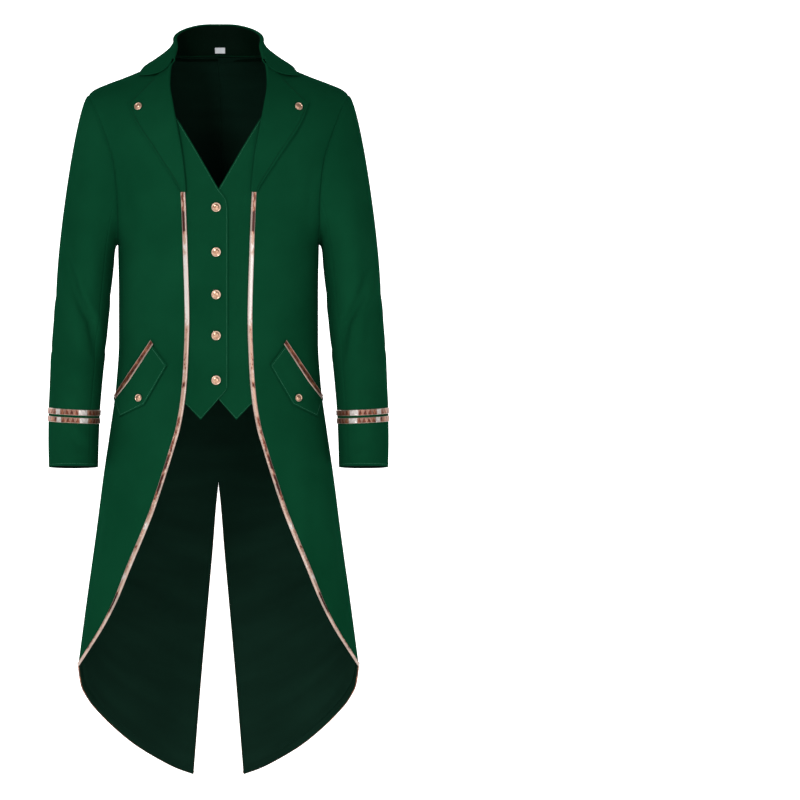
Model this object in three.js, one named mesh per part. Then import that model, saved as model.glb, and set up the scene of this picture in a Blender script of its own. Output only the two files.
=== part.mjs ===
import * as THREE from "three";

// A longline blazer cut like a tailcoat, filled out as it is when worn.
// Millimetres. X runs to the wearer's left, the front faces -Y, and Z is up.
// The origin is in the middle of the neck opening, level with the back neck seam.
// Left and right are the wearer's. Left pieces are worked out and right ones mirrored.

// Thicknesses and gaps
const CLOTH = 2;
const FACING = 1.6;
const LINING = 1;
const TRIM = 0.9;
const SEAM_GAP = 0.3;
const TRIM_GAP = 0.4;
const LIE_GAP = 0.8;

// The form that the panels lie on
const SECTION_POWER = 2.4;
const ARMPIT_Z = -316;
const VENT_TOP_Z = -713;
const FRONT_TURN_Z = -817;
const FRONT_CORNER_Z = -955;
const SIDE_HEM_Z = -1019;
const TAIL_TIP_Z = -1201;
const NECK_HALF_WIDTH = 75;
const FRONT_SHOULDER_ROUND = 170;
const BACK_SHOULDER_ROUND = 130;
const ARMHOLE_DEPTH_SHARE = 0.62;
const ARMHOLE_SCOOP = 0.35;
const FRONT = -1;
const BACK = 1;

// Rows above the armpit, from the shoulder seam at 1 down to just above the armpit at 0
const UPPER_ROWS = [1, 0.985, 0.955, 0.9, 0.8, 0.67, 0.53, 0.4, 0.27, 0.11];
const BREAK_ROW = 0.27;
// Heights of the rows at the side seam
const LOWER_ROWS = [
  ARMPIT_Z, -350, -395, -440, -485, -530, -575, -620, -665, VENT_TOP_Z, -765, FRONT_TURN_Z,
  -868, -915, -955, -990, SIDE_HEM_Z,
];
const ROWS = UPPER_ROWS.length + LOWER_ROWS.length;
const PANEL_COLUMNS = 8;
const NECK_COLUMNS = 3;

const CLOTH_GREEN = 0x0a442a;
const LINING_GREEN = 0x041f12;
const ROSE_GOLD = 0xb98266;
const LABEL_GREY = 0xb9bdc1;

// A short table with named columns, kept in rising order of its first column
function table(names, rows) {
  const columns = names.split(" ");
  const records = rows.map((row) => Object.fromEntries(columns.map((name, i) => [name, row[i]])));
  records.sort((one, other) => one[columns[0]] - other[columns[0]]);
  return { key: columns[0], records };
}

// Reads a column smoothly between the rows of a table, without overshoot
function read(source, column, at) {
  const { key, records } = source;
  const last = records.length - 1;
  const place = THREE.MathUtils.clamp(at, records[0][key], records[last][key]);
  const width = (i) => records[i + 1][key] - records[i][key];
  const slope = (i) => (records[i + 1][column] - records[i][column]) / width(i);
  const tangent = (i) => {
    if (i === 0) return slope(0);
    if (i === last) return slope(last - 1);
    const before = slope(i - 1);
    const after = slope(i);
    return before * after <= 0 ? 0 : (2 * before * after) / (before + after);
  };
  let i = 0;
  while (i < last - 1 && place > records[i + 1][key]) i += 1;
  const share = (place - records[i][key]) / width(i);
  return hermite(
    records[i][column], tangent(i) * width(i),
    records[i + 1][column], tangent(i + 1) * width(i), share,
  );
}

function hermite(start, startSlope, end, endSlope, share) {
  const square = share * share;
  const cube = square * share;
  return (2 * cube - 3 * square + 1) * start + (cube - 2 * square + share) * startSlope
    + (3 * square - 2 * cube) * end + (cube - square) * endSlope;
}

const lerp = THREE.MathUtils.lerp;

// Half width of the body, its depth before and behind the side seam, and the seam's place in Y
const BODY = table("z halfWidth front back sideY", [
  [-316, 168, 126, 122, 4],
  [-400, 166.5, 120, 110, 4],
  [-476, 166.5, 115, 104, 4],
  [-551, 171, 115, 110, 5],
  [-626, 181, 119, 121, 6],
  [-701, 192, 123, 131, 7],
  [-802, 205, 128, 142, 8],
  [-902, 219, 132, 152, 9],
  [-1019, 234.5, 137, 163, 10],
  [-1201, 258, 143, 177, 12],
]);

// Height of the shoulder seam, carried on to the centre line inside the neck
const SHOULDER = table("x z", [
  [0, 20],
  [40, 12],
  [75, 0],
  [100, -13],
  [133, -28],
  [156, -37.5],
  [184, -48],
  [207, -58],
  [218, -67],
]);

// Half width between the armholes on each row above the armpit
const ARMHOLE = table("row halfWidth", [
  [0, 168],
  [0.11, 169.3],
  [0.27, 170.8],
  [0.4, 173.6],
  [0.53, 178.5],
  [0.67, 189.5],
  [0.8, 201],
  [0.9, 209.5],
  [0.955, 214.5],
  [1, 218],
]);

// Edge of the front: neck, roll line of the lapel, straight front and cutaway
const FRONT_EDGE = table("z x", [
  [0, 75],
  [-12, 79],
  [-30, 82.5],
  [-48, 83.2],
  [-84, 78],
  [-134, 68.6],
  [-175, 61.6],
  [-230, 56.5],
  [-330, 52.5],
  [-443, 49.6],
  [-519, 52],
  [-569, 56],
  [-621, 64.5],
  [-656, 74.5],
  [-709, 91],
  [-761, 108.5],
  [-805, 126],
  [-857, 148],
  [-910, 170],
  [-953, 192],
  [-988, 214],
  [-1019, 234.5],
]);

// Hem of the tails, from the side seam to the tip beside the vent
const TAIL_HEM = table("z x", [
  [-1019, 234.5],
  [-1052, 229.6],
  [-1077, 217],
  [-1102, 196],
  [-1127, 170],
  [-1152, 139],
  [-1177, 98],
  [-1191, 70],
  [-1201, 42],
]);

// Half the width of the open vent
const VENT = table("z x", [
  [-713, 0],
  [-751, 4],
  [-827, 10],
  [-902, 16.7],
  [-1052, 30],
  [-1201, 42],
]);

function raised(base, power) {
  return Math.max(base, 0) ** power;
}

// How far a point is from the armpit level, 0, to the shoulder line above it, 1
function rowShare(x, z) {
  return (z - ARMPIT_Z) / (read(SHOULDER, "z", Math.abs(x)) - ARMPIT_Z);
}

// Share of the full depth that is left where a row meets the armhole
function armholeShare(row) {
  const scoop = Math.min(row / ARMHOLE_SCOOP, 1);
  return ARMHOLE_DEPTH_SHARE * Math.sqrt(1 - (1 - scoop) ** 2);
}

function rowHalfWidth(row) {
  const reach = raised(1 - armholeShare(row) ** SECTION_POWER, 1 / SECTION_POWER);
  return read(ARMHOLE, "halfWidth", row) / reach;
}

function formHalfWidth(x, z) {
  const row = rowShare(x, z);
  return row > 0 ? rowHalfWidth(row) : read(BODY, "halfWidth", z);
}

function formDepth(side, x, z) {
  const round = side === FRONT ? FRONT_SHOULDER_ROUND : BACK_SHOULDER_ROUND;
  const below = THREE.MathUtils.clamp((read(SHOULDER, "z", Math.abs(x)) - z) / round, 0, 1);
  return read(BODY, side === FRONT ? "front" : "back", z) * Math.sqrt(1 - (1 - below) ** 2);
}

function formY(side, x, z) {
  const across = (Math.abs(x) / formHalfWidth(x, z)) ** SECTION_POWER;
  const depth = formDepth(side, x, z) * raised(1 - across, 1 / SECTION_POWER);
  return read(BODY, "sideY", z) + side * depth;
}

// Direction out of the form, from how fast its section function grows along each axis
function formNormal(side, x, y, z) {
  const step = 0.5;
  const measure = (px, py, pz) => {
    const across = (Math.abs(px) / formHalfWidth(px, pz)) ** SECTION_POWER;
    const depth = Math.abs(py - read(BODY, "sideY", pz)) / Math.max(formDepth(side, px, pz), step);
    return across + depth ** SECTION_POWER;
  };
  return new THREE.Vector3(
    measure(x + step, y, z) - measure(x - step, y, z),
    measure(x, y + step, z) - measure(x, y - step, z),
    measure(x, y, z + step) - measure(x, y, z - step),
  ).normalize();
}

function onForm(side, x, z, lift) {
  const place = new THREE.Vector3(x, formY(side, x, z), z);
  return place.addScaledVector(formNormal(side, x, place.y, z), lift);
}

// The section's angle at which x is reached, and back again
function sectionAngle(x, halfWidth) {
  return Math.asin(Math.min((x / halfWidth) ** (SECTION_POWER / 2), 1));
}

function sectionX(angle, halfWidth) {
  return halfWidth * raised(Math.sin(angle), 2 / SECTION_POWER);
}

// A height between low and high where the given difference changes sign
function solveHeight(low, high, difference) {
  const risesAtTop = difference(high) > 0;
  for (let i = 0; i < 40; i += 1) {
    const middle = (low + high) / 2;
    if (difference(middle) > 0 === risesAtTop) high = middle;
    else low = middle;
  }
  return (low + high) / 2;
}

// A sheet is a surface of quads that face outwards
function gridSheet(rows, columns, pointAt, options = {}) {
  const { flip = false, closed = false } = options;
  const points = [];
  const quads = [];
  const index = (row, column) => row * columns + (column % columns);
  for (let row = 0; row < rows; row += 1) {
    for (let column = 0; column < columns; column += 1) points.push(pointAt(row, column));
  }
  for (let row = 0; row + 1 < rows; row += 1) {
    for (let column = 0; column < (closed ? columns : columns - 1); column += 1) {
      const quad = [
        index(row, column), index(row + 1, column),
        index(row + 1, column + 1), index(row, column + 1),
      ];
      quads.push(flip ? quad.reverse() : quad);
    }
  }
  return { points, quads, index };
}

function mirrored(sheet) {
  return {
    points: sheet.points.map((point) => new THREE.Vector3(-point.x, point.y, point.z)),
    quads: sheet.quads.map((quad) => [...quad].reverse()),
    index: sheet.index,
  };
}

// Joins sheets into one at the points that they share
function merged(...sheets) {
  const points = [];
  const places = new Map();
  const quads = sheets.flatMap((sheet) => {
    const renamed = sheet.points.map((point) => {
      const place = placeKey(point);
      if (!places.has(place)) places.set(place, points.push(point) - 1);
      return places.get(place);
    });
    return sheet.quads.map((quad) => quad.map((i) => renamed[i]));
  });
  return { points, quads };
}

function placeKey(point) {
  return point.toArray().map((value) => Math.round(value * 20)).join(" ");
}

// Adds to each point's direction the faces round it, each by its angle at the point
function gatherNormals(sheet, directions) {
  for (const quad of sheet.quads) {
    quad.forEach((corner, i) => {
      const here = sheet.points[corner];
      const before = sheet.points[quad[(i + 3) % 4]].clone().sub(here);
      const after = sheet.points[quad[(i + 1) % 4]].clone().sub(here);
      const place = placeKey(here);
      if (!directions.has(place)) directions.set(place, new THREE.Vector3());
      const face = after.clone().cross(before).normalize();
      directions.get(place).addScaledVector(face, after.angleTo(before));
    });
  }
}

function setNormals(sheet) {
  const directions = new Map();
  gatherNormals(sheet, directions);
  sheet.normals = sheet.points.map((point) => directions.get(placeKey(point)).clone().normalize());
}

// Each edge that has a face on one side only, as its first point and its last
function openEdges(sheet) {
  const edges = sheet.quads.flatMap((quad) => quad.map((from, i) => [from, quad[(i + 1) % 4]]));
  const known = new Set(edges.map((edge) => edge.join(" ")));
  return edges.filter(([from, to]) => !known.has(`${to} ${from}`));
}

// Gives sewn sheets one shared direction along their seams, and parts them there by the seam gap
function sew(sheets) {
  const directions = new Map();
  for (const sheet of sheets) gatherNormals(sheet, directions);
  for (const sheet of sheets) {
    sheet.normals = sheet.points.map((point) => directions.get(placeKey(point)).clone().normalize());
  }
  for (const sheet of sheets) {
    const insets = new Map();
    for (const [from, to] of openEdges(sheet)) {
      const along = sheet.points[to].clone().sub(sheet.points[from]);
      for (const end of [from, to]) {
        const inward = sheet.normals[end].clone().cross(along).normalize();
        insets.set(end, [...(insets.get(end) ?? []), inward]);
      }
    }
    const shifted = sheet.points.map((point) => point.clone());
    for (const [end, [one, other]] of insets) {
      const spread = Math.max(1 + one.dot(other), 0.3);
      shifted[end].addScaledVector(one.clone().add(other), SEAM_GAP / 2 / spread);
    }
    sheet.points = shifted;
  }
  return sheets;
}

// A closed wall: the sheet, the same sheet moved in by the thickness, and strips round the edges
function wall(sheet, thickness) {
  if (!sheet.normals) setNormals(sheet);
  const count = sheet.points.length;
  const inner = sheet.points.map((point, i) => point.clone().addScaledVector(sheet.normals[i], -thickness));
  const points = [...sheet.points, ...inner];
  const triangles = [];
  const addQuad = (a, b, c, d, guide = [a, b, c, d]) => {
    const [ga, gb, gc, gd] = guide.map((i) => points[i]);
    if (ga.distanceTo(gc) <= gb.distanceTo(gd)) triangles.push(a, b, c, a, c, d);
    else triangles.push(a, b, d, b, c, d);
  };
  for (const [a, b, c, d] of sheet.quads) {
    addQuad(a, b, c, d);
    addQuad(d + count, c + count, b + count, a + count, [d, c, b, a]);
  }
  for (const [a, b] of openEdges(sheet)) addQuad(b, a, a + count, b + count);
  const geometry = new THREE.BufferGeometry();
  geometry.setAttribute("position", new THREE.Float32BufferAttribute(points.flatMap((p) => p.toArray()), 3));
  geometry.setIndex(triangles);
  return geometry;
}

const finishes = {
  cloth: { color: CLOTH_GREEN, roughness: 0.75, metalness: 0 },
  lining: { color: LINING_GREEN, roughness: 0.5, metalness: 0 },
  trim: { color: ROSE_GOLD, roughness: 0.3, metalness: 0.9 },
  button: { color: ROSE_GOLD, roughness: 0.35, metalness: 1 },
  label: { color: LABEL_GREY, roughness: 0.6, metalness: 0 },
};

const coat = new THREE.Group();

function addPiece(name, geometry, finish) {
  const piece = new THREE.Mesh(geometry, new THREE.MeshStandardMaterial(finishes[finish]));
  piece.name = name;
  coat.add(piece);
  return piece;
}

// Adds the wearer's left piece and its mirror image on the right
function addPair(name, sheet, thickness, finish) {
  addPiece(`${name}_left`, wall(sheet, thickness), finish);
  addPiece(`${name}_right`, wall(mirrored(sheet), thickness), finish);
}

// A point of a row above the armpit
function upperPoint(side, row, angle) {
  const x = sectionX(angle, rowHalfWidth(row));
  const z = lerp(ARMPIT_Z, read(SHOULDER, "z", x), row);
  return new THREE.Vector3(x, formY(side, x, z), z);
}

function lowerPoint(side, z, angle) {
  const x = sectionX(angle, read(BODY, "halfWidth", z));
  return new THREE.Vector3(x, formY(side, x, z), z);
}

function armholeAngle(row) {
  return sectionAngle(read(ARMHOLE, "halfWidth", row), rowHalfWidth(row));
}

// Where the edge of the front crosses a row above the armpit
function frontEdgeAngle(row) {
  let x = NECK_HALF_WIDTH;
  for (let i = 0; i < 12; i += 1) {
    x = read(FRONT_EDGE, "x", lerp(ARMPIT_Z, read(SHOULDER, "z", x), row));
  }
  return sectionAngle(x, rowHalfWidth(row));
}

function edgeAngle(outline, z) {
  return sectionAngle(read(outline, "x", z), read(BODY, "halfWidth", z));
}

// A point of the rows that turn from level, at the turn, into the slanting hem of a panel
function turningPoint(side, z, share, turn, corner, outline, hem) {
  const progress = Math.max((turn - z) / (turn - SIDE_HEM_Z), 0);
  if (progress === 0) return lowerPoint(side, z, lerp(edgeAngle(outline, z), Math.PI / 2, share));
  const endAngle = lerp(edgeAngle(outline, corner), Math.PI / 2, share);
  const endZ = share === 1 ? SIDE_HEM_Z : solveHeight(
    Math.min(corner, SIDE_HEM_Z), Math.max(corner, SIDE_HEM_Z),
    (height) => read(hem, "x", height) - sectionX(endAngle, read(BODY, "halfWidth", height)),
  );
  const height = share === 0 ? lerp(turn, corner, progress) : lerp(turn, endZ, progress);
  const edge = edgeAngle(outline, lerp(turn, corner, progress));
  return lowerPoint(side, height, lerp(edge, Math.PI / 2, share));
}

function frontPoint(row, column) {
  const share = column / PANEL_COLUMNS;
  if (row < UPPER_ROWS.length) {
    const level = UPPER_ROWS[row];
    return upperPoint(FRONT, level, lerp(frontEdgeAngle(level), armholeAngle(level), share));
  }
  const z = LOWER_ROWS[row - UPPER_ROWS.length];
  return turningPoint(FRONT, z, share, FRONT_TURN_Z, FRONT_CORNER_Z, FRONT_EDGE, FRONT_EDGE);
}

// Shares of the back's columns: the neck's first, then those that end at the shoulder seam
const NECK_SHARE = sectionAngle(NECK_HALF_WIDTH, rowHalfWidth(1)) / armholeAngle(1);
const BACK_SHARES = [];
for (let i = 0; i < NECK_COLUMNS; i += 1) BACK_SHARES.push((NECK_SHARE * i) / NECK_COLUMNS);
for (let i = 0; i <= PANEL_COLUMNS; i += 1) BACK_SHARES.push(lerp(NECK_SHARE, 1, i / PANEL_COLUMNS));

function backPoint(row, column) {
  const share = BACK_SHARES[column];
  if (row < UPPER_ROWS.length) {
    // Inside the neck the rows are scaled so that the first one is level with the neck seam
    const top = column < NECK_COLUMNS ? rowShare((NECK_HALF_WIDTH * column) / NECK_COLUMNS, 0) : 1;
    const level = UPPER_ROWS[row] * top;
    return upperPoint(BACK, level, share * armholeAngle(UPPER_ROWS[row]));
  }
  const z = LOWER_ROWS[row - UPPER_ROWS.length];
  return turningPoint(BACK, z, share, VENT_TOP_Z, TAIL_TIP_Z, VENT, TAIL_HEM);
}

// Sleeve rings below the cap: outer and inner half widths from the centre line of the coat
const SLEEVE = table("z outer inner depth centreY", [
  [-350, 268.5, 174.3, 74, 3],
  [-400, 272, 179.5, 70, 1],
  [-450, 276, 184, 66, -1],
  [-500, 280, 189, 62, -4],
  [-550, 282, 194, 58, -8],
  [-600, 284, 198, 54, -13],
  [-645, 284.3, 199.8, 51, -18],
  [-688, 283.5, 201, 49, -23],
]);
const SLEEVE_RINGS = [-350, -372, -396, -420, -444, -470, -498, -530, -565, -600, -645, -688];
const CAP_SHARES = [0, 0.1, 0.22, 0.36, 0.52, 0.68, 0.84];
const CUFF_TILT = 0.05;
const CUFF_TILT_LENGTH = 250;
const CAP_FULLNESS = 70;
const UNDERARM_FULLNESS = 24;
// Directions in which the cap leaves the armhole and comes to the first ring
const CAP_LEAVE = { x: 0.72, y: -0.3, z: -0.66 };
const CAP_ARRIVE = { x: 0.08, y: 0.02, z: -1 };

// Angle round the sleeve for each point of half an armhole, from the shoulder to the armpit
const RING_ANGLES = [0, 12, 26, 42, 60, 78, 96, 114, 131, 155, 180];
const SEAM_COLUMN = 8;
const HALF_LOOP = RING_ANGLES.length - 1;
const LOOP = 2 * HALF_LOOP;

// Soft troughs in each sleeve: middle height, angle there, slant, depth, half width and half length
const SLEEVE_FOLDS = table("z angle slant depth width length", [
  [-398, 78, -0.62, 4.5, 17, 66],
  [-478, 62, -0.5, 2.2, 16, 34],
  [-452, -96, 0.5, 3.2, 17, 52],
  [-520, -70, 0.45, 2, 16, 34],
]);

function loopAngle(i) {
  const degrees = i <= HALF_LOOP ? RING_ANGLES[i] : -RING_ANGLES[LOOP - i];
  return THREE.MathUtils.degToRad(degrees);
}

function foldDepth(angle, z) {
  const degrees = THREE.MathUtils.radToDeg(angle);
  return SLEEVE_FOLDS.records.reduce((total, fold) => {
    const radius = 0.5 * (read(SLEEVE, "outer", z) - read(SLEEVE, "inner", z));
    const middle = fold.angle + fold.slant * (z - fold.z);
    const across = THREE.MathUtils.degToRad(degrees - middle) * radius;
    const along = z - fold.z;
    return total + fold.depth * Math.exp(-((across / fold.width) ** 2) - (along / fold.length) ** 2);
  }, 0);
}

// A point of the left sleeve before its folds
function sleeveForm(angle, z) {
  const outer = read(SLEEVE, "outer", z);
  const inner = read(SLEEVE, "inner", z);
  const depth = read(SLEEVE, "depth", z);
  const forward = depth * Math.sin(angle);
  const tilt = CUFF_TILT * THREE.MathUtils.clamp((SLEEVE_RINGS[0] - z) / CUFF_TILT_LENGTH, 0, 1);
  return new THREE.Vector3(
    (outer + inner) / 2 + ((outer - inner) / 2) * Math.cos(angle),
    read(SLEEVE, "centreY", z) - forward,
    z + tilt * forward,
  );
}

function sleeveNormal(angle, z) {
  const turn = 0.01;
  const step = 2;
  const round = sleeveForm(angle + turn, z).sub(sleeveForm(angle - turn, z));
  const down = sleeveForm(angle, z - step).sub(sleeveForm(angle, z + step));
  return round.cross(down).normalize();
}

// A point of the left sleeve, lifted off its surface
function onSleeve(angle, z, lift) {
  return sleeveForm(angle, z).addScaledVector(sleeveNormal(angle, z), lift - foldDepth(angle, z));
}

// The left sleeve's rings, from the armhole over the cap to the cuff
function sleevePoint(armhole, ring, i) {
  const angle = loopAngle(i);
  if (ring >= CAP_SHARES.length) return onSleeve(angle, SLEEVE_RINGS[ring - CAP_SHARES.length], 0);
  const start = armhole[i];
  const end = onSleeve(angle, SLEEVE_RINGS[0], 0);
  const chord = start.distanceTo(end);
  const top = (1 + Math.cos(angle)) / 2;
  const fullness = lerp(UNDERARM_FULLNESS, CAP_FULLNESS, top);
  const leave = new THREE.Vector3(CAP_LEAVE.x, CAP_LEAVE.y * Math.sin(angle), CAP_LEAVE.z);
  leave.multiplyScalar(fullness);
  const arrive = new THREE.Vector3(CAP_ARRIVE.x, CAP_ARRIVE.y, CAP_ARRIVE.z).multiplyScalar(chord);
  const share = CAP_SHARES[ring];
  return new THREE.Vector3(
    hermite(start.x, leave.x, end.x, arrive.x, share),
    hermite(start.y, leave.y, end.y, arrive.y, share),
    hermite(start.z, leave.z, end.z, arrive.z, share),
  );
}

function sleeveSheet(armhole, firstColumn, lastColumn) {
  const rings = CAP_SHARES.length + SLEEVE_RINGS.length;
  const columns = lastColumn - firstColumn + 1;
  const point = (ring, column) => sleevePoint(armhole, ring, (firstColumn + column) % LOOP);
  return gridSheet(rings, columns, point, { flip: true });
}

// Collar: places of the fold, the middle of the fall and its edge, from the centre back forwards
const COLLAR = table("station foldX foldY foldZ midX midY midZ edgeX edgeY edgeZ", [
  [0, 0, 68, 48, 0, 78, 26, 0, 84, -1],
  [1, 30, 64, 47, 34, 74, 25, 37, 80, -1],
  [2, 57, 46, 40, 64, 56, 20, 72, 66, -3],
  [3, 72, 12, 29, 79, 18, 12, 105, 26, -12],
  [4, 71, -16, 12, 87, -12, 2, 122, -6, -19],
  [5, 76, -36, -6, 98, -32, -14, 134, -30, -33],
]);
const FOLD_HALF_WIDTH = 1.8;

// A collar row runs from the neck seam up the stand, over the fold and down the fall
function collarPoint(neck, station, row) {
  const s = COLLAR.records[station];
  const fold = new THREE.Vector3(s.foldX, s.foldY, s.foldZ);
  const middle = new THREE.Vector3(s.midX, s.midY, s.midZ);
  const edge = new THREE.Vector3(s.edgeX, s.edgeY, s.edgeZ);
  const outward = edge.clone().sub(fold).setZ(0).normalize();
  const inFold = fold.clone().addScaledVector(outward, -FOLD_HALF_WIDTH);
  const outFold = fold.clone().addScaledVector(outward, FOLD_HALF_WIDTH);
  return [neck.clone(), neck.clone().lerp(inFold, 0.5), inFold, outFold, middle, edge][row];
}

function collarSheet(neckLine) {
  const stations = 2 * neckLine.length - 1;
  const centre = neckLine.length - 1;
  return gridSheet(6, stations, (row, column) => {
    const station = Math.abs(column - centre);
    const point = collarPoint(neckLine[station], station, row);
    if (column > centre) point.x *= -1;
    return point;
  }, { flip: true });
}

// Outer edge of the lapel, from its tip down to the break
const LAPEL_EDGE = table("share x z", [
  [0, 150, -80],
  [0.14, 141.5, -104],
  [0.27, 131, -124],
  [0.41, 118, -143],
  [0.54, 106, -161],
  [0.69, 92.7, -182],
  [0.83, 79.3, -202],
  [1, 63.5, -228],
]);
const LAPEL_COLUMNS = 4;
const LAPEL_ROLL = 1.6;

// The lapel lies on the front, from its roll line outwards, and stands off a little at the roll
function lapelSheet(rollLine) {
  return gridSheet(rollLine.length, LAPEL_COLUMNS + 1, (row, column) => {
    const down = row / (rollLine.length - 1);
    const across = column / LAPEL_COLUMNS;
    const x = lerp(rollLine[row].x, read(LAPEL_EDGE, "x", down), across);
    const z = lerp(rollLine[row].z, read(LAPEL_EDGE, "z", down), across);
    return onForm(FRONT, x, z, LIE_GAP + FACING + LAPEL_ROLL * (1 - across) ** 2);
  });
}

// Inner edge of a waistcoat front from the wearer's centre line: the V, then the buttoned edge
const WAISTCOAT_EDGE = table("z x", [
  [-88, 81],
  [-99, 74],
  [-130, 55],
  [-160, 37],
  [-190, 19.5],
  [-224, -0.5],
  [-244, -14],
  [-262, -16],
  [-556, -16],
]);
// Lower edge of a waistcoat front, with its point
const WAISTCOAT_HEM = table("x z", [
  [-16, -556],
  [8.5, -584.5],
  [30, -609],
  [54, -584],
  [92, -566],
]);
const WAISTCOAT_ROWS = [
  -88, -108, -130, -160, -190, -224, -244, -262, -320, -370, -410, -440, -470, -500, -530,
];
const WAISTCOAT_FOLD_IN = 92;
const WAISTCOAT_TOP_SINK = { depth: 2.4, fromZ: -200, toZ: -110 };
const WAISTCOAT_LAP = { depth: FACING + 0.5, fromX: 30, toX: 56 };

// A waistcoat front hangs just inside the coat's front. The wearer's left one goes under the other.
function waistcoatSheet(sink) {
  const corners = WAISTCOAT_HEM.records;
  const last = corners.length - 1;
  const firstX = corners[0].x;
  return gridSheet(WAISTCOAT_ROWS.length + 1, corners.length, (row, column) => {
    const corner = corners[column];
    const isHem = row === WAISTCOAT_ROWS.length;
    const z = isHem ? corner.z : WAISTCOAT_ROWS[row];
    const inner = isHem ? firstX : read(WAISTCOAT_EDGE, "x", z);
    // Columns follow the corners of the hem, and above the V's foot they are spread more evenly
    const share = (corner.x - firstX) / (WAISTCOAT_FOLD_IN - firstX);
    const evened = !isHem && inner > 0 ? (share + column / last) / 2 : share;
    const x = lerp(inner, WAISTCOAT_FOLD_IN, evened);
    const lapped = 1 - THREE.MathUtils.smoothstep(x, WAISTCOAT_LAP.fromX, WAISTCOAT_LAP.toX);
    const top = THREE.MathUtils.smoothstep(z, WAISTCOAT_TOP_SINK.fromZ, WAISTCOAT_TOP_SINK.toZ);
    const depth = CLOTH + LIE_GAP + sink * lapped + WAISTCOAT_TOP_SINK.depth * top;
    return onForm(FRONT, x, z, -depth);
  });
}

// Pocket flap, seen from the front: the slanting upper edge and the lower one
const FLAP_TOP = table("share x z", [
  [0, 112.7, -481],
  [1, 172, -573.5],
]);
const FLAP_BOTTOM = table("share x z", [
  [0, 85.5, -518],
  [0.63, 122.7, -584],
  [1, 163.5, -604],
]);
const FLAP_SHARES = [0, 0.1, 0.2, 0.31, 0.42, 0.53, 0.63, 0.73, 0.82, 0.91, 1];
const FLAP_ROWS = 3;
const FLAP_TRIM_SHARE = 0.13;

function onFlap(along, down, lift) {
  const topX = read(FLAP_TOP, "x", along);
  const topZ = read(FLAP_TOP, "z", along);
  const straight = (column) => {
    const [first, bend, last] = FLAP_BOTTOM.records;
    const [from, to] = along < bend.share ? [first, bend] : [bend, last];
    return lerp(from[column], to[column], (along - from.share) / (to.share - from.share));
  };
  return onForm(FRONT, lerp(topX, straight("x"), down), lerp(topZ, straight("z"), down), lift);
}

function flapSheet() {
  return gridSheet(FLAP_ROWS + 1, FLAP_SHARES.length, (row, column) => (
    onFlap(FLAP_SHARES[column], row / FLAP_ROWS, LIE_GAP + FACING)
  ));
}

function flapTrimSheet() {
  return gridSheet(2, FLAP_SHARES.length, (row, column) => (
    onFlap(FLAP_SHARES[column], row * FLAP_TRIM_SHARE, LIE_GAP + FACING + TRIM_GAP + TRIM)
  ));
}

// A ribbon of trim that lies on the outside of a panel along its edge
function ribbonSheet(side, edge, width) {
  return gridSheet(edge.length, 2, (row, column) => {
    const point = edge[row];
    const before = edge[Math.max(row - 1, 0)];
    const after = edge[Math.min(row + 1, edge.length - 1)];
    const normal = formNormal(side, point.x, point.y, point.z);
    const inward = after.clone().sub(before).cross(normal).normalize();
    if (side === FRONT) inward.negate();
    const place = point.clone().addScaledVector(inward, column === 0 ? SEAM_GAP : width);
    return place.addScaledVector(normal, TRIM_GAP + TRIM);
  }, { flip: side === BACK });
}

// Shortens a line of points at its last end
function pullIn(line, distance) {
  const [before, end] = line.slice(-2);
  end.lerp(before, distance / end.distanceTo(before));
}

const FRONT_TRIM_WIDTH = 8;
const HEM_TRIM_WIDTH = 6;
const VENT_TRIM_WIDTH = 7.5;
const VENT_TRIM_TOP_X = 0.2;
const VENT_TRIM_TOP_Z = -698;
const TACK = { topZ: -682.5, bottomZ: -703, topHalf: 14.7, bottomHalf: 11.3 };
const BELT = { topZ: -411, bottomZ: -455, halfWidth: 87.7, corner: 3, columns: 10 };

// The tack closes the top of the vent and lies over the upper ends of its trim
function tackSheet() {
  return gridSheet(2, 3, (row, column) => {
    const half = row === 0 ? TACK.topHalf : TACK.bottomHalf;
    const z = row === 0 ? TACK.topZ : TACK.bottomZ;
    return onForm(BACK, half * (1 - column), z, TRIM_GAP + TRIM + SEAM_GAP + TRIM);
  });
}

function beltSheet() {
  return gridSheet(3, BELT.columns + 1, (row, column) => {
    const share = 1 - (2 * column) / BELT.columns;
    const corner = Math.abs(share) === 1 ? BELT.corner : 0;
    const z = [BELT.topZ - corner, (BELT.topZ + BELT.bottomZ) / 2, BELT.bottomZ + corner][row];
    return onForm(BACK, share * BELT.halfWidth, z, LIE_GAP + FACING);
  });
}

// Back lining, which hangs inside the back in two halves that meet at the centre
const LINING_GAP = 0.5;
const LINING_EDGE = { top: 3, centre: 1, vent: 4, hem: 14 };

// One half of the lining, made from the points of the back
function liningSheet(back, columns, ventRow) {
  const lastRow = ROWS - 1;
  const { normals } = back;
  const shifted = (from, to, distance) => {
    const start = back.points[from];
    const end = back.points[to];
    return start.clone().lerp(end, distance / start.distanceTo(end));
  };
  return gridSheet(ROWS, columns, (row, column) => {
    const here = back.index(row, column);
    let place = back.points[here].clone();
    if (row === 0) place = shifted(here, back.index(1, column), LINING_EDGE.top);
    if (row === lastRow) place = shifted(here, back.index(row - 1, column), LINING_EDGE.hem);
    if (column === 0) {
      const edge = row > ventRow ? LINING_EDGE.vent : LINING_EDGE.centre;
      const next = back.index(row, 1);
      place.add(shifted(here, next, edge).sub(back.points[here]));
    }
    return place.addScaledVector(normals[here], -(CLOTH + LINING_GAP));
  }, { flip: true });
}

// Metallic bands round the sleeve above the cuff
const BANDS = table("upperZ lowerZ", [
  [-587, -597],
  [-601, -610.5],
]);
const BAND_SLOPE = 1.5;

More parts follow.
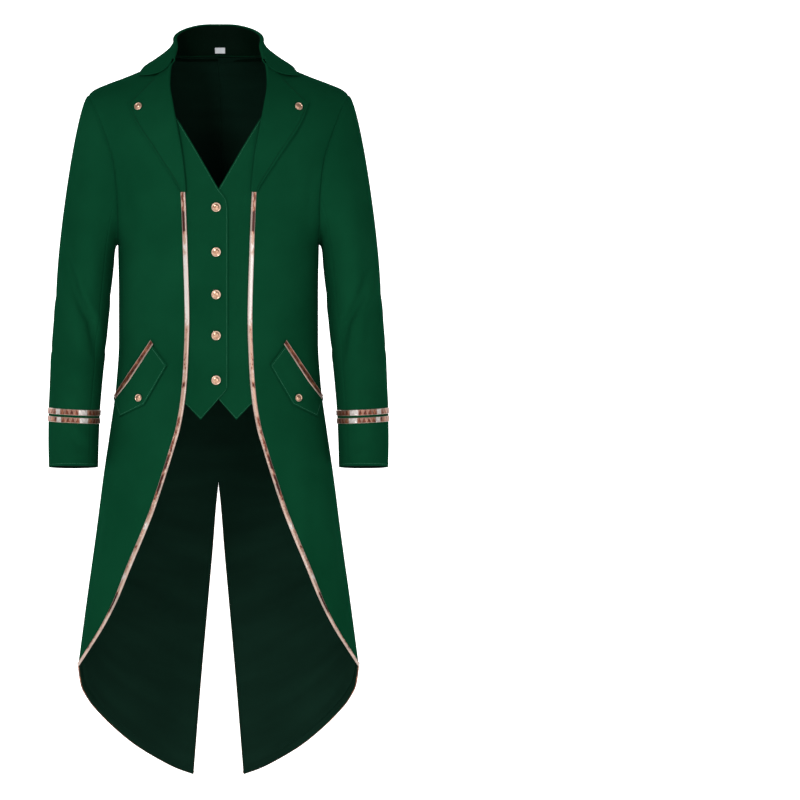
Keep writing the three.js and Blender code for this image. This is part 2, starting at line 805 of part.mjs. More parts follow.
function bandSheet(band) {
  return gridSheet(2, LOOP, (row, column) => {
    const angle = loopAngle(column);
    const z = (row === 0 ? band.upperZ : band.lowerZ) + BAND_SLOPE * Math.cos(angle);
    return onSleeve(angle, z, TRIM_GAP + TRIM);
  }, { flip: true, closed: true });
}

// Domed metal button, with its flat back on the cloth
const BUTTON_GAP = 0.5;
const BUTTON_SIDES = 10;
const BUTTON_PROFILE = [[0, 0], [0.92, 0], [1, 0.3], [0.78, 0.8], [0, 1]];
const BUTTONS = { waistcoat: 7.9, lapel: 6.7, flap: 6.4, belt: 8.1, cuff: 6.9 };
const BUTTON_HEIGHT = 4.2;

function addButton(name, kind, place, outward) {
  const radius = BUTTONS[kind];
  const profile = BUTTON_PROFILE.map(([r, h]) => new THREE.Vector2(r * radius, h * BUTTON_HEIGHT));
  const geometry = new THREE.LatheGeometry(profile, BUTTON_SIDES);
  geometry.rotateX(Math.PI / 2);
  const button = addPiece(name, geometry, "button");
  button.quaternion.setFromUnitVectors(new THREE.Vector3(0, 0, 1), outward);
  button.position.copy(place).addScaledVector(outward, BUTTON_GAP);
}

function addFormButton(name, kind, side, x, z, lift) {
  const place = onForm(side, x, z, lift);
  addButton(name, kind, place, formNormal(side, x, formY(side, x, z), z));
}

const WAISTCOAT_BUTTON_ROWS = [-254, -329, -400, -468.5, -543];
const WAISTCOAT_BUTTON_X = -4;
const BUTTON_RISE = 0.3;
const LAPEL_BUTTON = { x: 134.3, z: -85.5 };
const FLAP_BUTTON = { x: 133.3, z: -572.5 };
const BELT_BUTTON = { x: 77, z: -431.5 };
const CUFF_BUTTON_ROWS = [-624.6, -646, -667.5];
const CUFF_BUTTON_ANGLE = THREE.MathUtils.degToRad(-109);

function addButtons() {
  WAISTCOAT_BUTTON_ROWS.forEach((z, i) => {
    const name = `button_waistcoat_${i + 1}`;
    addFormButton(name, "waistcoat", FRONT, WAISTCOAT_BUTTON_X, z, BUTTON_RISE - CLOTH - LIE_GAP);
  });
  const lift = LIE_GAP + FACING;
  for (const [hand, sign] of [["left", 1], ["right", -1]]) {
    addFormButton(`button_lapel_${hand}`, "lapel", FRONT, sign * LAPEL_BUTTON.x, LAPEL_BUTTON.z, lift);
    addFormButton(`button_flap_${hand}`, "flap", FRONT, sign * FLAP_BUTTON.x, FLAP_BUTTON.z, lift);
    addFormButton(`button_belt_${hand}`, "belt", BACK, sign * BELT_BUTTON.x, BELT_BUTTON.z, lift);
    CUFF_BUTTON_ROWS.forEach((z, i) => {
      const place = onSleeve(CUFF_BUTTON_ANGLE, z, 0);
      const outward = sleeveNormal(CUFF_BUTTON_ANGLE, z);
      place.x *= sign;
      outward.x *= sign;
      addButton(`button_cuff_${hand}_${i + 1}`, "cuff", place, outward);
    });
  }
}

// Blank label on the inside of the collar's stand, just beside the centre
const LABEL = { left: 10.9, right: -5.8, bottomZ: 2.5, topZ: 12, thickness: 0.5, clear: 0.4 };

function labelSheet(neckLine) {
  const first = collarPoint(neckLine[0], 0, 2);
  const second = collarPoint(neckLine[1], 1, 2);
  return gridSheet(2, 3, (row, column) => {
    const x = [LABEL.left, 0, LABEL.right][column];
    const z = row === 0 ? LABEL.topZ : LABEL.bottomZ;
    const along = Math.abs(x) / lerp(neckLine[1].x, second.x, z / first.z);
    const centreY = lerp(neckLine[0].y, first.y, z / first.z);
    const nextY = lerp(neckLine[1].y, second.y, z / first.z);
    return new THREE.Vector3(x, lerp(centreY, nextY, along) - CLOTH - LABEL.clear, z);
  });
}

function buildCoat() {
  const front = gridSheet(ROWS, PANEL_COLUMNS + 1, frontPoint);
  const backHalf = gridSheet(ROWS, BACK_SHARES.length, backPoint, { flip: true });
  const side = BACK_SHARES.length - 1;
  const lastRow = ROWS - 1;

  // The armhole runs from the shoulder down the front to the armpit and up the back
  const armhole = [];
  for (let row = 0; row <= HALF_LOOP; row += 1) armhole.push(front.points[front.index(row, PANEL_COLUMNS)]);
  for (let row = HALF_LOOP - 1; row > 0; row -= 1) armhole.push(backHalf.points[backHalf.index(row, side)]);

  const topSleeve = sleeveSheet(armhole, LOOP - SEAM_COLUMN, LOOP + SEAM_COLUMN);
  const underSleeve = sleeveSheet(armhole, SEAM_COLUMN, LOOP - SEAM_COLUMN);

  // The collar is sewn to the back's neckline and to the first rows of the fronts
  const neckLine = [];
  for (let column = 0; column <= NECK_COLUMNS; column += 1) {
    neckLine.push(backHalf.points[backHalf.index(0, column)].clone());
  }
  neckLine.push(front.points[front.index(1, 0)].clone(), front.points[front.index(2, 0)].clone());
  const collar = collarSheet(neckLine);

  // Edges that carry trim, taken before the seams are parted
  const breakRow = UPPER_ROWS.indexOf(BREAK_ROW);
  const pointOf = (sheet, row, column) => sheet.points[sheet.index(row, column)].clone();
  const frontEdge = [];
  for (let row = breakRow; row <= lastRow; row += 1) frontEdge.push(pointOf(front, row, 0));
  for (let column = 1; column <= PANEL_COLUMNS; column += 1) frontEdge.push(pointOf(front, lastRow, column));
  const rollLine = [];
  for (let row = 2; row <= breakRow; row += 1) rollLine.push(pointOf(front, row, 0));
  const hemEdge = BACK_SHARES.map((share, column) => pointOf(backHalf, lastRow, column));
  pullIn(frontEdge, SEAM_GAP);
  pullIn(hemEdge, SEAM_GAP);
  const ventEdge = [onForm(BACK, VENT_TRIM_TOP_X, VENT_TRIM_TOP_Z, 0)];
  const ventRow = UPPER_ROWS.length + LOWER_ROWS.indexOf(VENT_TOP_Z);
  for (let row = ventRow + 1; row <= lastRow; row += 1) ventEdge.push(pointOf(backHalf, row, 0));
  pullIn(ventEdge, 2 * HEM_TRIM_WIDTH);

  const back = merged(backHalf, mirrored(backHalf));
  setNormals(backHalf);
  const frontRight = mirrored(front);
  const topSleeveRight = mirrored(topSleeve);
  const underSleeveRight = mirrored(underSleeve);
  sew([front, frontRight, back, topSleeve, underSleeve, topSleeveRight, underSleeveRight, collar]);

  addPiece("front_left", wall(front, CLOTH), "cloth");
  addPiece("front_right", wall(frontRight, CLOTH), "cloth");
  addPiece("back", wall(back, CLOTH), "cloth");
  addPiece("sleeve_top_left", wall(topSleeve, CLOTH), "cloth");
  addPiece("sleeve_top_right", wall(topSleeveRight, CLOTH), "cloth");
  addPiece("sleeve_under_left", wall(underSleeve, CLOTH), "cloth");
  addPiece("sleeve_under_right", wall(underSleeveRight, CLOTH), "cloth");
  addPiece("collar", wall(collar, CLOTH), "cloth");

  addPair("lapel", lapelSheet(rollLine), FACING, "cloth");
  addPiece("waistcoat_left", wall(waistcoatSheet(WAISTCOAT_LAP.depth), FACING), "cloth");
  addPiece("waistcoat_right", wall(mirrored(waistcoatSheet(0)), FACING), "cloth");
  addPair("flap", flapSheet(), FACING, "cloth");
  addPair("flap_trim", flapTrimSheet(), TRIM, "trim");
  addPair("front_trim", ribbonSheet(FRONT, frontEdge, FRONT_TRIM_WIDTH), TRIM, "trim");
  addPair("hem_trim", ribbonSheet(BACK, hemEdge, HEM_TRIM_WIDTH), TRIM, "trim");
  addPair("vent_trim", ribbonSheet(BACK, ventEdge, VENT_TRIM_WIDTH), TRIM, "trim");
  addPiece("vent_tack", wall(tackSheet(), TRIM), "trim");
  addPiece("half_belt", wall(beltSheet(), FACING), "cloth");
  BANDS.records.forEach((band, i) => {
    addPair(`sleeve_band_${i + 1}`, bandSheet(band), TRIM, "trim");
  });
  addPair("lining", liningSheet(backHalf, side, ventRow), LINING, "lining");
  addPiece("label", wall(labelSheet(neckLine), LABEL.thickness), "label");
  addButtons();
}

buildCoat();

export default coat;
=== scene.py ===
# %% [markdown]
# # A longline blazer, cut like a tailcoat
# The coat stands hollow and filled out, in the shape that it has when worn. Its fronts are cut away below
# the waist, two mock waistcoat fronts are sewn inside, and the back ends in two long tails with an open
# vent.
# A garment like this could be sewn from flat patterns with a cloth simulation. Here each panel is worked
# out from a few measured lines instead, so that every edge lands where the real coat has it, every time.

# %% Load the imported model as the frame
import math

import bpy
import numpy as np
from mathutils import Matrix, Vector


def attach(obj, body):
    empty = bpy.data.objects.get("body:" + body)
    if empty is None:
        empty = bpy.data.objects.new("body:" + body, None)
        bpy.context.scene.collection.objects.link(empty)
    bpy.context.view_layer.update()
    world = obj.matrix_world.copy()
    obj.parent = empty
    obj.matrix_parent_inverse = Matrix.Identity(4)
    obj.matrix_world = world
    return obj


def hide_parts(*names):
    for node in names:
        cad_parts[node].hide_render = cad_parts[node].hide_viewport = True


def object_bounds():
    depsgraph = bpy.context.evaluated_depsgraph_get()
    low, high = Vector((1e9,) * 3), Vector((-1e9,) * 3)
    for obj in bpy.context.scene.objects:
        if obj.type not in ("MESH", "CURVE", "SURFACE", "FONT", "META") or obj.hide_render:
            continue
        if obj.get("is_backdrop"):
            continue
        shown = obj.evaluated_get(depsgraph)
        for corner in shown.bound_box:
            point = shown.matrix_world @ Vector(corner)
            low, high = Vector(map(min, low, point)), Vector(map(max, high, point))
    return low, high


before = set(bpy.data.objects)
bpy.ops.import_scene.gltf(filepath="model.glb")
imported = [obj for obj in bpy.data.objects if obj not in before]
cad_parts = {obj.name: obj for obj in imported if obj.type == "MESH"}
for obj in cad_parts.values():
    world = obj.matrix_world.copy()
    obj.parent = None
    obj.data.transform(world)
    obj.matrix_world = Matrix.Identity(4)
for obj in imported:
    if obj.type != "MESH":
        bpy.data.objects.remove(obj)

cad_low, cad_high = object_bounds()
print("solids:", len(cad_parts), "box from", list(cad_low), "to", list(cad_high))

# %% [markdown]
# ## Measured lines
# A coat is written down for cutting as a few measures at a few heights. Each table below does the same, in
# millimetres. Left and right are as worn. Between its rows a value follows a smooth curve that never swings
# past them, which a plain spline would do at a sharp change such as the armhole.

# %% Tables that are read smoothly
def table(names, rows):
    """Columns by name, kept in rising order of the first one."""
    ordered = np.array(sorted(rows), float)
    return dict(zip(names.split(), ordered.T), key=ordered[:, 0])


def hermite(start, start_slope, end, end_slope, share):
    square = share * share
    cube = square * share
    rise = 3 * square - 2 * cube
    leaving = (cube - 2 * square + share) * start_slope
    arriving = (cube - square) * end_slope
    return (1 - rise) * start + rise * end + leaving + arriving


def read(source, column, at):
    """A column of a table at any place, smooth and without overshoot."""
    keys, values = source["key"], source[column]
    widths = np.diff(keys)
    slopes = np.diff(values) / widths
    product = slopes[:-1] * slopes[1:]
    total = np.where(product > 0, slopes[:-1] + slopes[1:], 1)
    tangents = np.concatenate([slopes[:1], np.where(product > 0, 2 * product / total, 0), slopes[-1:]])
    place = np.clip(at, keys[0], keys[-1])
    i = np.clip(np.searchsorted(keys, place) - 1, 0, len(keys) - 2)
    share = (place - keys[i]) / widths[i]
    return hermite(values[i], tangents[i] * widths[i], values[i + 1], tangents[i + 1] * widths[i], share)


def lerp(start, end, share):
    return start + (end - start) * share


def smoothstep(value, low, high):
    share = np.clip((value - low) / (high - low), 0, 1)
    return share * share * (3 - 2 * share)


print("halfway up a smooth step from 0 to 1:", float(smoothstep(0.5, 0, 1)))

# %% Measures of the body, the shoulder and the armhole
ARMPIT_Z = -316
VENT_TOP_Z = -713
FRONT_TURN_Z = -817
FRONT_CORNER_Z = -955
SIDE_HEM_Z = -1019
TAIL_TIP_Z = -1201
NECK_HALF_WIDTH = 75
FRONT = -1
BACK = 1

BODY = table("z halfWidth front back sideY", [
    (-316, 168, 126, 122, 4),
    (-400, 166.5, 120, 110, 4),
    (-476, 166.5, 115, 104, 4),
    (-551, 171, 115, 110, 5),
    (-626, 181, 119, 121, 6),
    (-701, 192, 123, 131, 7),
    (-802, 205, 128, 142, 8),
    (-902, 219, 132, 152, 9),
    (-1019, 234.5, 137, 163, 10),
    (-1201, 258, 143, 177, 12),
])
SHOULDER = table("x z", [
    (0, 20), (40, 12), (75, 0), (100, -13), (133, -28), (156, -37.5), (184, -48), (207, -58), (218, -67),
])
ARMHOLE = table("row halfWidth", [
    (0, 168), (0.11, 169.3), (0.27, 170.8), (0.4, 173.6), (0.53, 178.5),
    (0.67, 189.5), (0.8, 201), (0.9, 209.5), (0.955, 214.5), (1, 218),
])
print("body rows:", len(BODY["z"]), "shoulder drops", SHOULDER["z"][0] - SHOULDER["z"][-1], "mm")

# %% Measures of the edges
FRONT_EDGE = table("z x", [
    (0, 75), (-12, 79), (-30, 82.5), (-48, 83.2), (-84, 78), (-134, 68.6), (-175, 61.6), (-230, 56.5),
    (-330, 52.5), (-443, 49.6), (-519, 52), (-569, 56), (-621, 64.5), (-656, 74.5), (-709, 91),
    (-761, 108.5), (-805, 126), (-857, 148), (-910, 170), (-953, 192), (-988, 214), (-1019, 234.5),
])
TAIL_HEM = table("z x", [
    (-1019, 234.5), (-1052, 229.6), (-1077, 217), (-1102, 196), (-1127, 170),
    (-1152, 139), (-1177, 98), (-1191, 70), (-1201, 42),
])
VENT = table("z x", [(-713, 0), (-751, 4), (-827, 10), (-902, 16.7), (-1052, 30), (-1201, 42)])
print("front edge from", FRONT_EDGE["z"][-1], "to", FRONT_EDGE["z"][0], "mm")

# %% [markdown]
# ## The form that the cloth lies on
# A chest is wider than it is deep and has full sides, so a plain ellipse looks too thin at its corners. The
# sections here are superellipses: the power is a little over two, which fills the corners out. Over the
# shoulder the depth closes like a quarter circle, and that gives the shoulder line its roundness.

# %% Points and directions on the form
SECTION_POWER = 2.4
SHOULDER_ROUND = {FRONT: 170, BACK: 130}
ARMHOLE_DEPTH_SHARE = 0.62
ARMHOLE_SCOOP = 0.35


def raised(base, power):
    return np.maximum(base, 0) ** power


def row_half_width(row):
    """Half width of the whole section, in which the armhole cuts the ends off."""
    scoop = np.minimum(row / ARMHOLE_SCOOP, 1)
    left_over = ARMHOLE_DEPTH_SHARE * np.sqrt(1 - (1 - scoop) ** 2)
    return read(ARMHOLE, "halfWidth", row) / raised(1 - left_over ** SECTION_POWER, 1 / SECTION_POWER)


def form_half_width(x, z):
    row = (z - ARMPIT_Z) / (read(SHOULDER, "z", np.abs(x)) - ARMPIT_Z)
    return np.where(row > 0, row_half_width(np.clip(row, 0, 1)), read(BODY, "halfWidth", z))


def form_depth(side, x, z):
    below = np.clip((read(SHOULDER, "z", np.abs(x)) - z) / SHOULDER_ROUND[side], 0, 1)
    return read(BODY, "front" if side == FRONT else "back", z) * np.sqrt(1 - (1 - below) ** 2)


def form_y(side, x, z):
    across = (np.abs(x) / form_half_width(x, z)) ** SECTION_POWER
    return read(BODY, "sideY", z) + side * form_depth(side, x, z) * raised(1 - across, 1 / SECTION_POWER)


print("front of the form at the armpit:", form_y(FRONT, 0.0, float(ARMPIT_Z)).round(1), "mm")


# %% Directions out of the form
def unit(vectors):
    return vectors / np.maximum(np.linalg.norm(vectors, axis=-1, keepdims=True), 1e-9)


def form_normal(side, x, y, z):
    """Direction out of the form, from how fast its section function grows along each axis."""
    step = 0.5

    def measure(px, py, pz):
        across = (np.abs(px) / form_half_width(px, pz)) ** SECTION_POWER
        depth = np.abs(py - read(BODY, "sideY", pz)) / np.maximum(form_depth(side, px, pz), step)
        return across + depth ** SECTION_POWER

    return unit(np.stack([
        measure(x + step, y, z) - measure(x - step, y, z),
        measure(x, y + step, z) - measure(x, y - step, z),
        measure(x, y, z + step) - measure(x, y, z - step),
    ], -1))


def on_form(side, x, z, lift=0.0):
    """A point of the form, lifted off it along its own direction."""
    x, z, lift = np.broadcast_arrays(np.asarray(x, float), z, lift)
    y = form_y(side, x, z)
    return np.stack([x, y, z], -1) + form_normal(side, x, y, z) * lift[..., None]


CHEST_Z = -250.0
print("chest front at", form_y(FRONT, 0.0, CHEST_Z).round(1), "mm")
print("chest back at", form_y(BACK, 0.0, CHEST_Z).round(1), "mm")

# %% [markdown]
# ## Rows of a panel
# Above the armpit the rows of a panel slope with the shoulder seam. Below it they are level, and near the
# bottom they turn until the last one is the slanting hem itself. So the cloth's grid runs along its edges,
# as the grain and the seams do, and no edge comes out in steps.

# %% Rows and columns of the fronts and the back
UPPER_ROWS = np.array([1, 0.985, 0.955, 0.9, 0.8, 0.67, 0.53, 0.4, 0.27, 0.11, 0])
LOWER_ROWS = np.array([
    ARMPIT_Z, -350, -395, -440, -485, -530, -575, -620, -665, VENT_TOP_Z, -765, FRONT_TURN_Z,
    -868, -915, -955, -990, SIDE_HEM_Z,
])
ARMPIT_ROW = len(UPPER_ROWS) - 1
LAST_ROW = ARMPIT_ROW + len(LOWER_ROWS) - 1
BREAK_ROW = 8


def section_angle(x, half_width):
    return np.arcsin(np.minimum(raised(x / half_width, SECTION_POWER / 2), 1))


def section_x(angle, half_width):
    return half_width * raised(np.sin(angle), 2 / SECTION_POWER)


def edge_angle(outline, z):
    return section_angle(read(outline, "x", z), read(BODY, "halfWidth", z))


def front_edge_angle(row):
    """Where the edge of the front crosses a sloping row."""
    x = np.full_like(row, NECK_HALF_WIDTH)
    for _ in range(12):
        x = read(FRONT_EDGE, "x", lerp(ARMPIT_Z, read(SHOULDER, "z", x), row))
    return section_angle(x, row_half_width(row))


def armhole_angle(row):
    return section_angle(read(ARMHOLE, "halfWidth", row), row_half_width(row))


def hem_height(share, corner, outline, hem):
    """Height at which a column's own line meets the hem."""
    angle = lerp(edge_angle(outline, corner), np.pi / 2, share)
    low = np.full_like(share, min(corner, SIDE_HEM_Z))
    high = np.full_like(share, max(corner, SIDE_HEM_Z))

    def outside(z):
        return read(hem, "x", z) - section_x(angle, read(BODY, "halfWidth", z))

    rises = outside(high) > 0
    for _ in range(40):
        middle = (low + high) / 2
        same = (outside(middle) > 0) == rises
        high = np.where(same, middle, high)
        low = np.where(same, low, middle)
    height = np.where(share > 0.9999, SIDE_HEM_Z, (low + high) / 2)
    return np.where(share < 0.0001, corner, height)


def level_of(row):
    return np.interp(row, np.arange(ARMPIT_ROW + 1), UPPER_ROWS)


def lower_rows(side, row, share, turn, corner, outline, hem):
    z = np.interp(row - ARMPIT_ROW, np.arange(len(LOWER_ROWS)), LOWER_ROWS)
    progress = np.maximum((turn - z) / (turn - SIDE_HEM_Z), 0)
    height = np.where(progress > 0, lerp(turn, hem_height(share, corner, outline, hem), progress), z)
    edge_z = np.where(progress > 0, lerp(turn, corner, progress), z)
    angle = lerp(edge_angle(outline, edge_z), np.pi / 2, share)
    x = section_x(angle, read(BODY, "halfWidth", height))
    return np.stack([x, form_y(side, x, height), height], -1)


print("rows of a panel:", LAST_ROW + 1)


# %% The surface of a front
def front_surface(row, share):
    """Points of the left front: rows down from the shoulder seam, shares out from the edge."""
    row, share = np.broadcast_arrays(np.asarray(row, float), np.asarray(share, float))
    level = level_of(row)
    angle = lerp(front_edge_angle(level), armhole_angle(level), share)
    x = section_x(angle, row_half_width(level))
    z = lerp(ARMPIT_Z, read(SHOULDER, "z", x), level)
    upper = np.stack([x, form_y(FRONT, x, z), z], -1)
    lower = lower_rows(FRONT, row, share, FRONT_TURN_Z, FRONT_CORNER_Z, FRONT_EDGE, FRONT_EDGE)
    return np.where((row < ARMPIT_ROW)[..., None], upper, lower)


print("front corner at", front_surface(LAST_ROW, 0.0).round(1))

# %% The surface of the back
NECK_SHARE = float(section_angle(NECK_HALF_WIDTH, row_half_width(1.0)) / armhole_angle(np.array(1.0)))


def back_surface(row, share):
    """Points of the back's left half: shares run from the centre, past the neck, to the armhole."""
    row, share = np.broadcast_arrays(np.asarray(row, float), np.asarray(share, float))
    level = level_of(row)
    neck_x = NECK_HALF_WIDTH * share / NECK_SHARE
    top = np.where(share < NECK_SHARE, -ARMPIT_Z / (read(SHOULDER, "z", neck_x) - ARMPIT_Z), 1)
    x = section_x(share * armhole_angle(level), row_half_width(level * top))
    z = lerp(ARMPIT_Z, read(SHOULDER, "z", x), level * top)
    upper = np.stack([x, form_y(BACK, x, z), z], -1)
    lower = lower_rows(BACK, row, share, VENT_TOP_Z, TAIL_TIP_Z, VENT, TAIL_HEM)
    return np.where((row < ARMPIT_ROW)[..., None], upper, lower)


print("tail tip at", back_surface(LAST_ROW, 0.0).round(1))

# %% [markdown]
# ## From points to cloth
# Cloth is a thin wall: an outer face, an inner face and a narrow rim between them. Blender's Solidify
# modifier can thicken a sheet, but here the wall is made straight from the grid, because the same pass also
# lays a flat pattern in millimetres on it for the weave, and gives the inner face its own lining finish.

# %% Directions and flat pattern of a grid
def grid_normals(grid, tube, hint):
    """The direction out of each point of a grid, on the side that the hint points to."""
    if tube:
        across = np.roll(grid, -1, 1) - np.roll(grid, 1, 1)
    else:
        across = np.gradient(grid, axis=1)
    normals = unit(np.cross(np.gradient(grid, axis=0), across))
    turn = 1.0 if (normals * hint).sum() >= 0 else -1.0
    return normals * turn, turn


def flat_pattern(grid, tube):
    """Place of each point on the flat cloth, across and down, in metres and then as shares of the whole."""
    closed = np.concatenate([grid, grid[:, :1]], 1) if tube else grid
    across = np.linalg.norm(np.diff(closed, axis=1), axis=-1)
    down = np.linalg.norm(np.diff(closed, axis=0), axis=-1)
    u = np.concatenate([np.zeros((len(grid), 1)), np.cumsum(across, 1)], 1)
    middle = down.shape[1] // 2
    v = np.broadcast_to(np.concatenate([[0], np.cumsum(down[:, middle])])[:, None], u.shape)
    shares = np.meshgrid(np.linspace(0, 1, u.shape[1]), np.linspace(0, 1, u.shape[0]))
    return np.stack([u / 1000, v / 1000, *shares], -1)


square = np.array([[(0.0, 0.0, 0.0), (10.0, 0.0, 0.0)], [(0.0, 0.0, 10.0), (10.0, 0.0, 10.0)]])
print("pattern of a square of 10 mm ends at", flat_pattern(square, False)[-1, -1, :2], "m")


# %% Walls of cloth
def rim_edges(rows, columns, tube):
    """Directed edges round a grid's open border."""
    along = np.arange(columns if tube else columns - 1)
    after = (along + 1) % columns
    last = (rows - 1) * columns
    edges = [np.stack([after, along], 1), np.stack([last + along, last + after], 1)]
    if not tube:
        down = np.arange(rows - 1) * columns
        edges.append(np.stack([down, down + columns], 1))
        edges.append(np.stack([down + 2 * columns - 1, down + columns - 1], 1))
    return np.concatenate(edges)


def cloth_wall(grid, thickness, hint, tube):
    """Points, faces, pattern corners and inner faces of a thin wall whose outer face is the grid."""
    rows, columns = grid.shape[:2]
    normals, turn = grid_normals(grid, tube, hint)
    inner = grid - normals * thickness
    count = rows * columns
    spans = columns if tube else columns - 1
    row, column = np.meshgrid(np.arange(rows - 1), np.arange(spans), indexing="ij")
    after = (column + 1) % columns
    outer_faces = np.stack([
        row * columns + column, (row + 1) * columns + column,
        (row + 1) * columns + after, row * columns + after,
    ], -1).reshape(-1, 4)
    pattern = flat_pattern(grid, tube)
    corners = [pattern[row, column], pattern[row + 1, column]]
    corners += [pattern[row + 1, column + 1], pattern[row, column + 1]]
    outer_pattern = np.stack(corners, -2).reshape(-1, 4, 4)
    edges = rim_edges(rows, columns, tube)
    rim_faces = np.stack([edges[:, 1], edges[:, 0], edges[:, 0] + count, edges[:, 1] + count], 1)
    rim_pattern = pattern[:, :columns].reshape(-1, 4)[rim_faces % count]
    faces = np.concatenate([outer_faces, outer_faces[:, ::-1] + count, rim_faces])
    patterns = np.concatenate([outer_pattern, outer_pattern[:, ::-1], rim_pattern])
    inside = np.repeat([0, 1, 0], [len(outer_faces), len(outer_faces), len(rim_faces)])
    if turn < 0:
        faces, patterns = faces[:, ::-1], patterns[:, ::-1]
    return np.concatenate([grid.reshape(-1, 3), inner.reshape(-1, 3)]), faces, patterns, inside


square_wall = cloth_wall(square, 1.0, np.full_like(square, -1.0), False)
print("a wall made of one square has", len(square_wall[1]), "faces")


def cloth_piece(name, grids, thickness, hints, finishes, tube=False):
    """Adds one piece of cloth made of one or more grids. A second finish goes on the inner face."""
    walls = [cloth_wall(grid, thickness, hint, tube) for grid, hint in zip(grids, hints)]
    starts = np.cumsum([0] + [len(wall[0]) for wall in walls])
    mesh = bpy.data.meshes.new(name)
    points = np.concatenate([wall[0] for wall in walls]) / 1000
    faces = np.concatenate([wall[1] + start for wall, start in zip(walls, starts)])
    mesh.from_pydata(points.tolist(), [], faces.tolist())
    patterns = np.concatenate([wall[2] for wall in walls])
    mesh.uv_layers.new(name="pattern").data.foreach_set("uv", patterns[..., :2].reshape(-1))
    mesh.uv_layers.new(name="share").data.foreach_set("uv", patterns[..., 2:].reshape(-1))
    if len(finishes) > 1:
        mesh.polygons.foreach_set("material_index", np.concatenate([wall[3] for wall in walls]))
    return place_mesh(name, mesh, finishes)


def place_mesh(name, mesh, finishes):
    for finish in finishes:
        mesh.materials.append(finish)
    mesh.shade_smooth()
    mesh.set_sharp_from_angle(angle=math.radians(50))
    piece = bpy.data.objects.new(name, mesh)
    bpy.context.scene.collection.objects.link(piece)
    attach(piece, "root")
    return piece


def mirrored(grid):
    return grid * np.array([-1.0, 1.0, 1.0])


def sides(hand):
    """What to multiply a left point by for this hand."""
    return np.array([1.0 if hand == "left" else -1.0, 1.0, 1.0])


def stand_for(piece, slot, *nodes):
    if nodes:
        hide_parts(*nodes)
    print(piece.name, "faces", len(piece.data.polygons), "for", ", ".join(nodes) or "detail")


print("left points are multiplied by", sides("left"), "and right ones by", sides("right"))

# %% [markdown]
# ## Finishes
# The suiting is a smooth polyester twill: matt, with fine slanting ribs and a trace of bloom at grazing
# angles. A weave could be painted as an image, but the flat pattern on each piece lets a wave texture run
# at its true pitch, about half a millimetre, on every panel. Slow noise keeps the green from being one dead
# colour.

# %% Nodes of a finish
def new_finish(name, roughness, metallic=0.0, specular=0.5):
    finish = bpy.data.materials.new(name)
    finish.use_nodes = True
    shader = finish.node_tree.nodes["Principled BSDF"]
    shader.inputs["Roughness"].default_value = roughness
    shader.inputs["Metallic"].default_value = metallic
    shader.inputs["Specular IOR Level"].default_value = specular
    return finish, shader


def add_node(finish, kind, **values):
    node = finish.node_tree.nodes.new(kind)
    for name, value in values.items():
        if name in node.inputs:
            node.inputs[name].default_value = value
        else:
            setattr(node, name, value)
    return node


def join_nodes(finish, source, target):
    finish.node_tree.links.new(source, target)


print("finishes so far:", len(bpy.data.materials))


# %% Places on a piece
def pattern_place(finish, stretch=(1.0, 1.0, 1.0), turn=0.0):
    """Place on the flat pattern in metres, stretched and turned for a texture."""
    source = add_node(finish, "ShaderNodeUVMap", uv_map="pattern")
    mapping = add_node(finish, "ShaderNodeMapping")
    mapping.inputs["Scale"].default_value = stretch
    mapping.inputs["Rotation"].default_value = (0, 0, turn)
    join_nodes(finish, source.outputs["UV"], mapping.inputs["Vector"])
    return mapping.outputs["Vector"]


def share_place(finish):
    """Shares from 0 to 1 across and along the piece."""
    source = add_node(finish, "ShaderNodeUVMap", uv_map="share")
    parts = add_node(finish, "ShaderNodeSeparateXYZ")
    join_nodes(finish, source.outputs["UV"], parts.inputs["Vector"])
    return parts.outputs["X"], parts.outputs["Y"]


def space_place(finish):
    return add_node(finish, "ShaderNodeTexCoord").outputs["Object"]


print("places: on the flat pattern, as shares of the piece, and in space")


# %% Arithmetic, colours and bumps
def reckon(finish, operation, *values):
    """One step of arithmetic on sockets and numbers."""
    node = add_node(finish, "ShaderNodeMath", operation=operation)
    for value, socket in zip(values, node.inputs):
        if isinstance(value, (int, float)):
            socket.default_value = value
        else:
            join_nodes(finish, value, socket)
    return node.outputs["Value"]


def blend(finish, factor, first, second):
    """First colour where the factor is 0 and second where it is 1. Either is a socket or a colour."""
    node = add_node(finish, "ShaderNodeMix", data_type="RGBA")
    join_nodes(finish, factor, node.inputs[0])
    for value, socket in ((first, node.inputs[6]), (second, node.inputs[7])):
        if isinstance(value, tuple):
            socket.default_value = (*value, 1)
        else:
            join_nodes(finish, value, socket)
    return node.outputs[2]


def noise(finish, place, scale, detail=2.0, roughness=0.5):
    node = add_node(finish, "ShaderNodeTexNoise", Scale=scale, Detail=detail, Roughness=roughness)
    join_nodes(finish, place, node.inputs["Vector"])
    return node.outputs["Fac"]


def colours(finish, factor, stops, change="LINEAR"):
    """A colour ramp with its stops as pairs of place and colour."""
    ramp = add_node(finish, "ShaderNodeValToRGB")
    ramp.color_ramp.interpolation = change
    elements = ramp.color_ramp.elements
    while len(elements) < len(stops):
        elements.new(0.5)
    for element, (place, colour) in zip(elements, stops):
        element.position = place
        element.color = (*colour, 1)
    join_nodes(finish, factor, ramp.inputs["Fac"])
    return ramp.outputs["Color"]


def add_bump(finish, shader, heights):
    """Chains bumps, each with its height, strength and distance in metres."""
    before = None
    for height, strength, distance in heights:
        bump = add_node(finish, "ShaderNodeBump", Strength=strength, Distance=distance)
        join_nodes(finish, height, bump.inputs["Height"])
        if before is not None:
            join_nodes(finish, before, bump.inputs["Normal"])
        before = bump.outputs["Normal"]
    join_nodes(finish, before, shader.inputs["Normal"])


print("arithmetic, colours and bumps ready")

# %% Suiting and lining
TWILL_PITCH = 0.0006
SATIN_PITCH = 0.0004
LABEL_PITCH = 0.0005
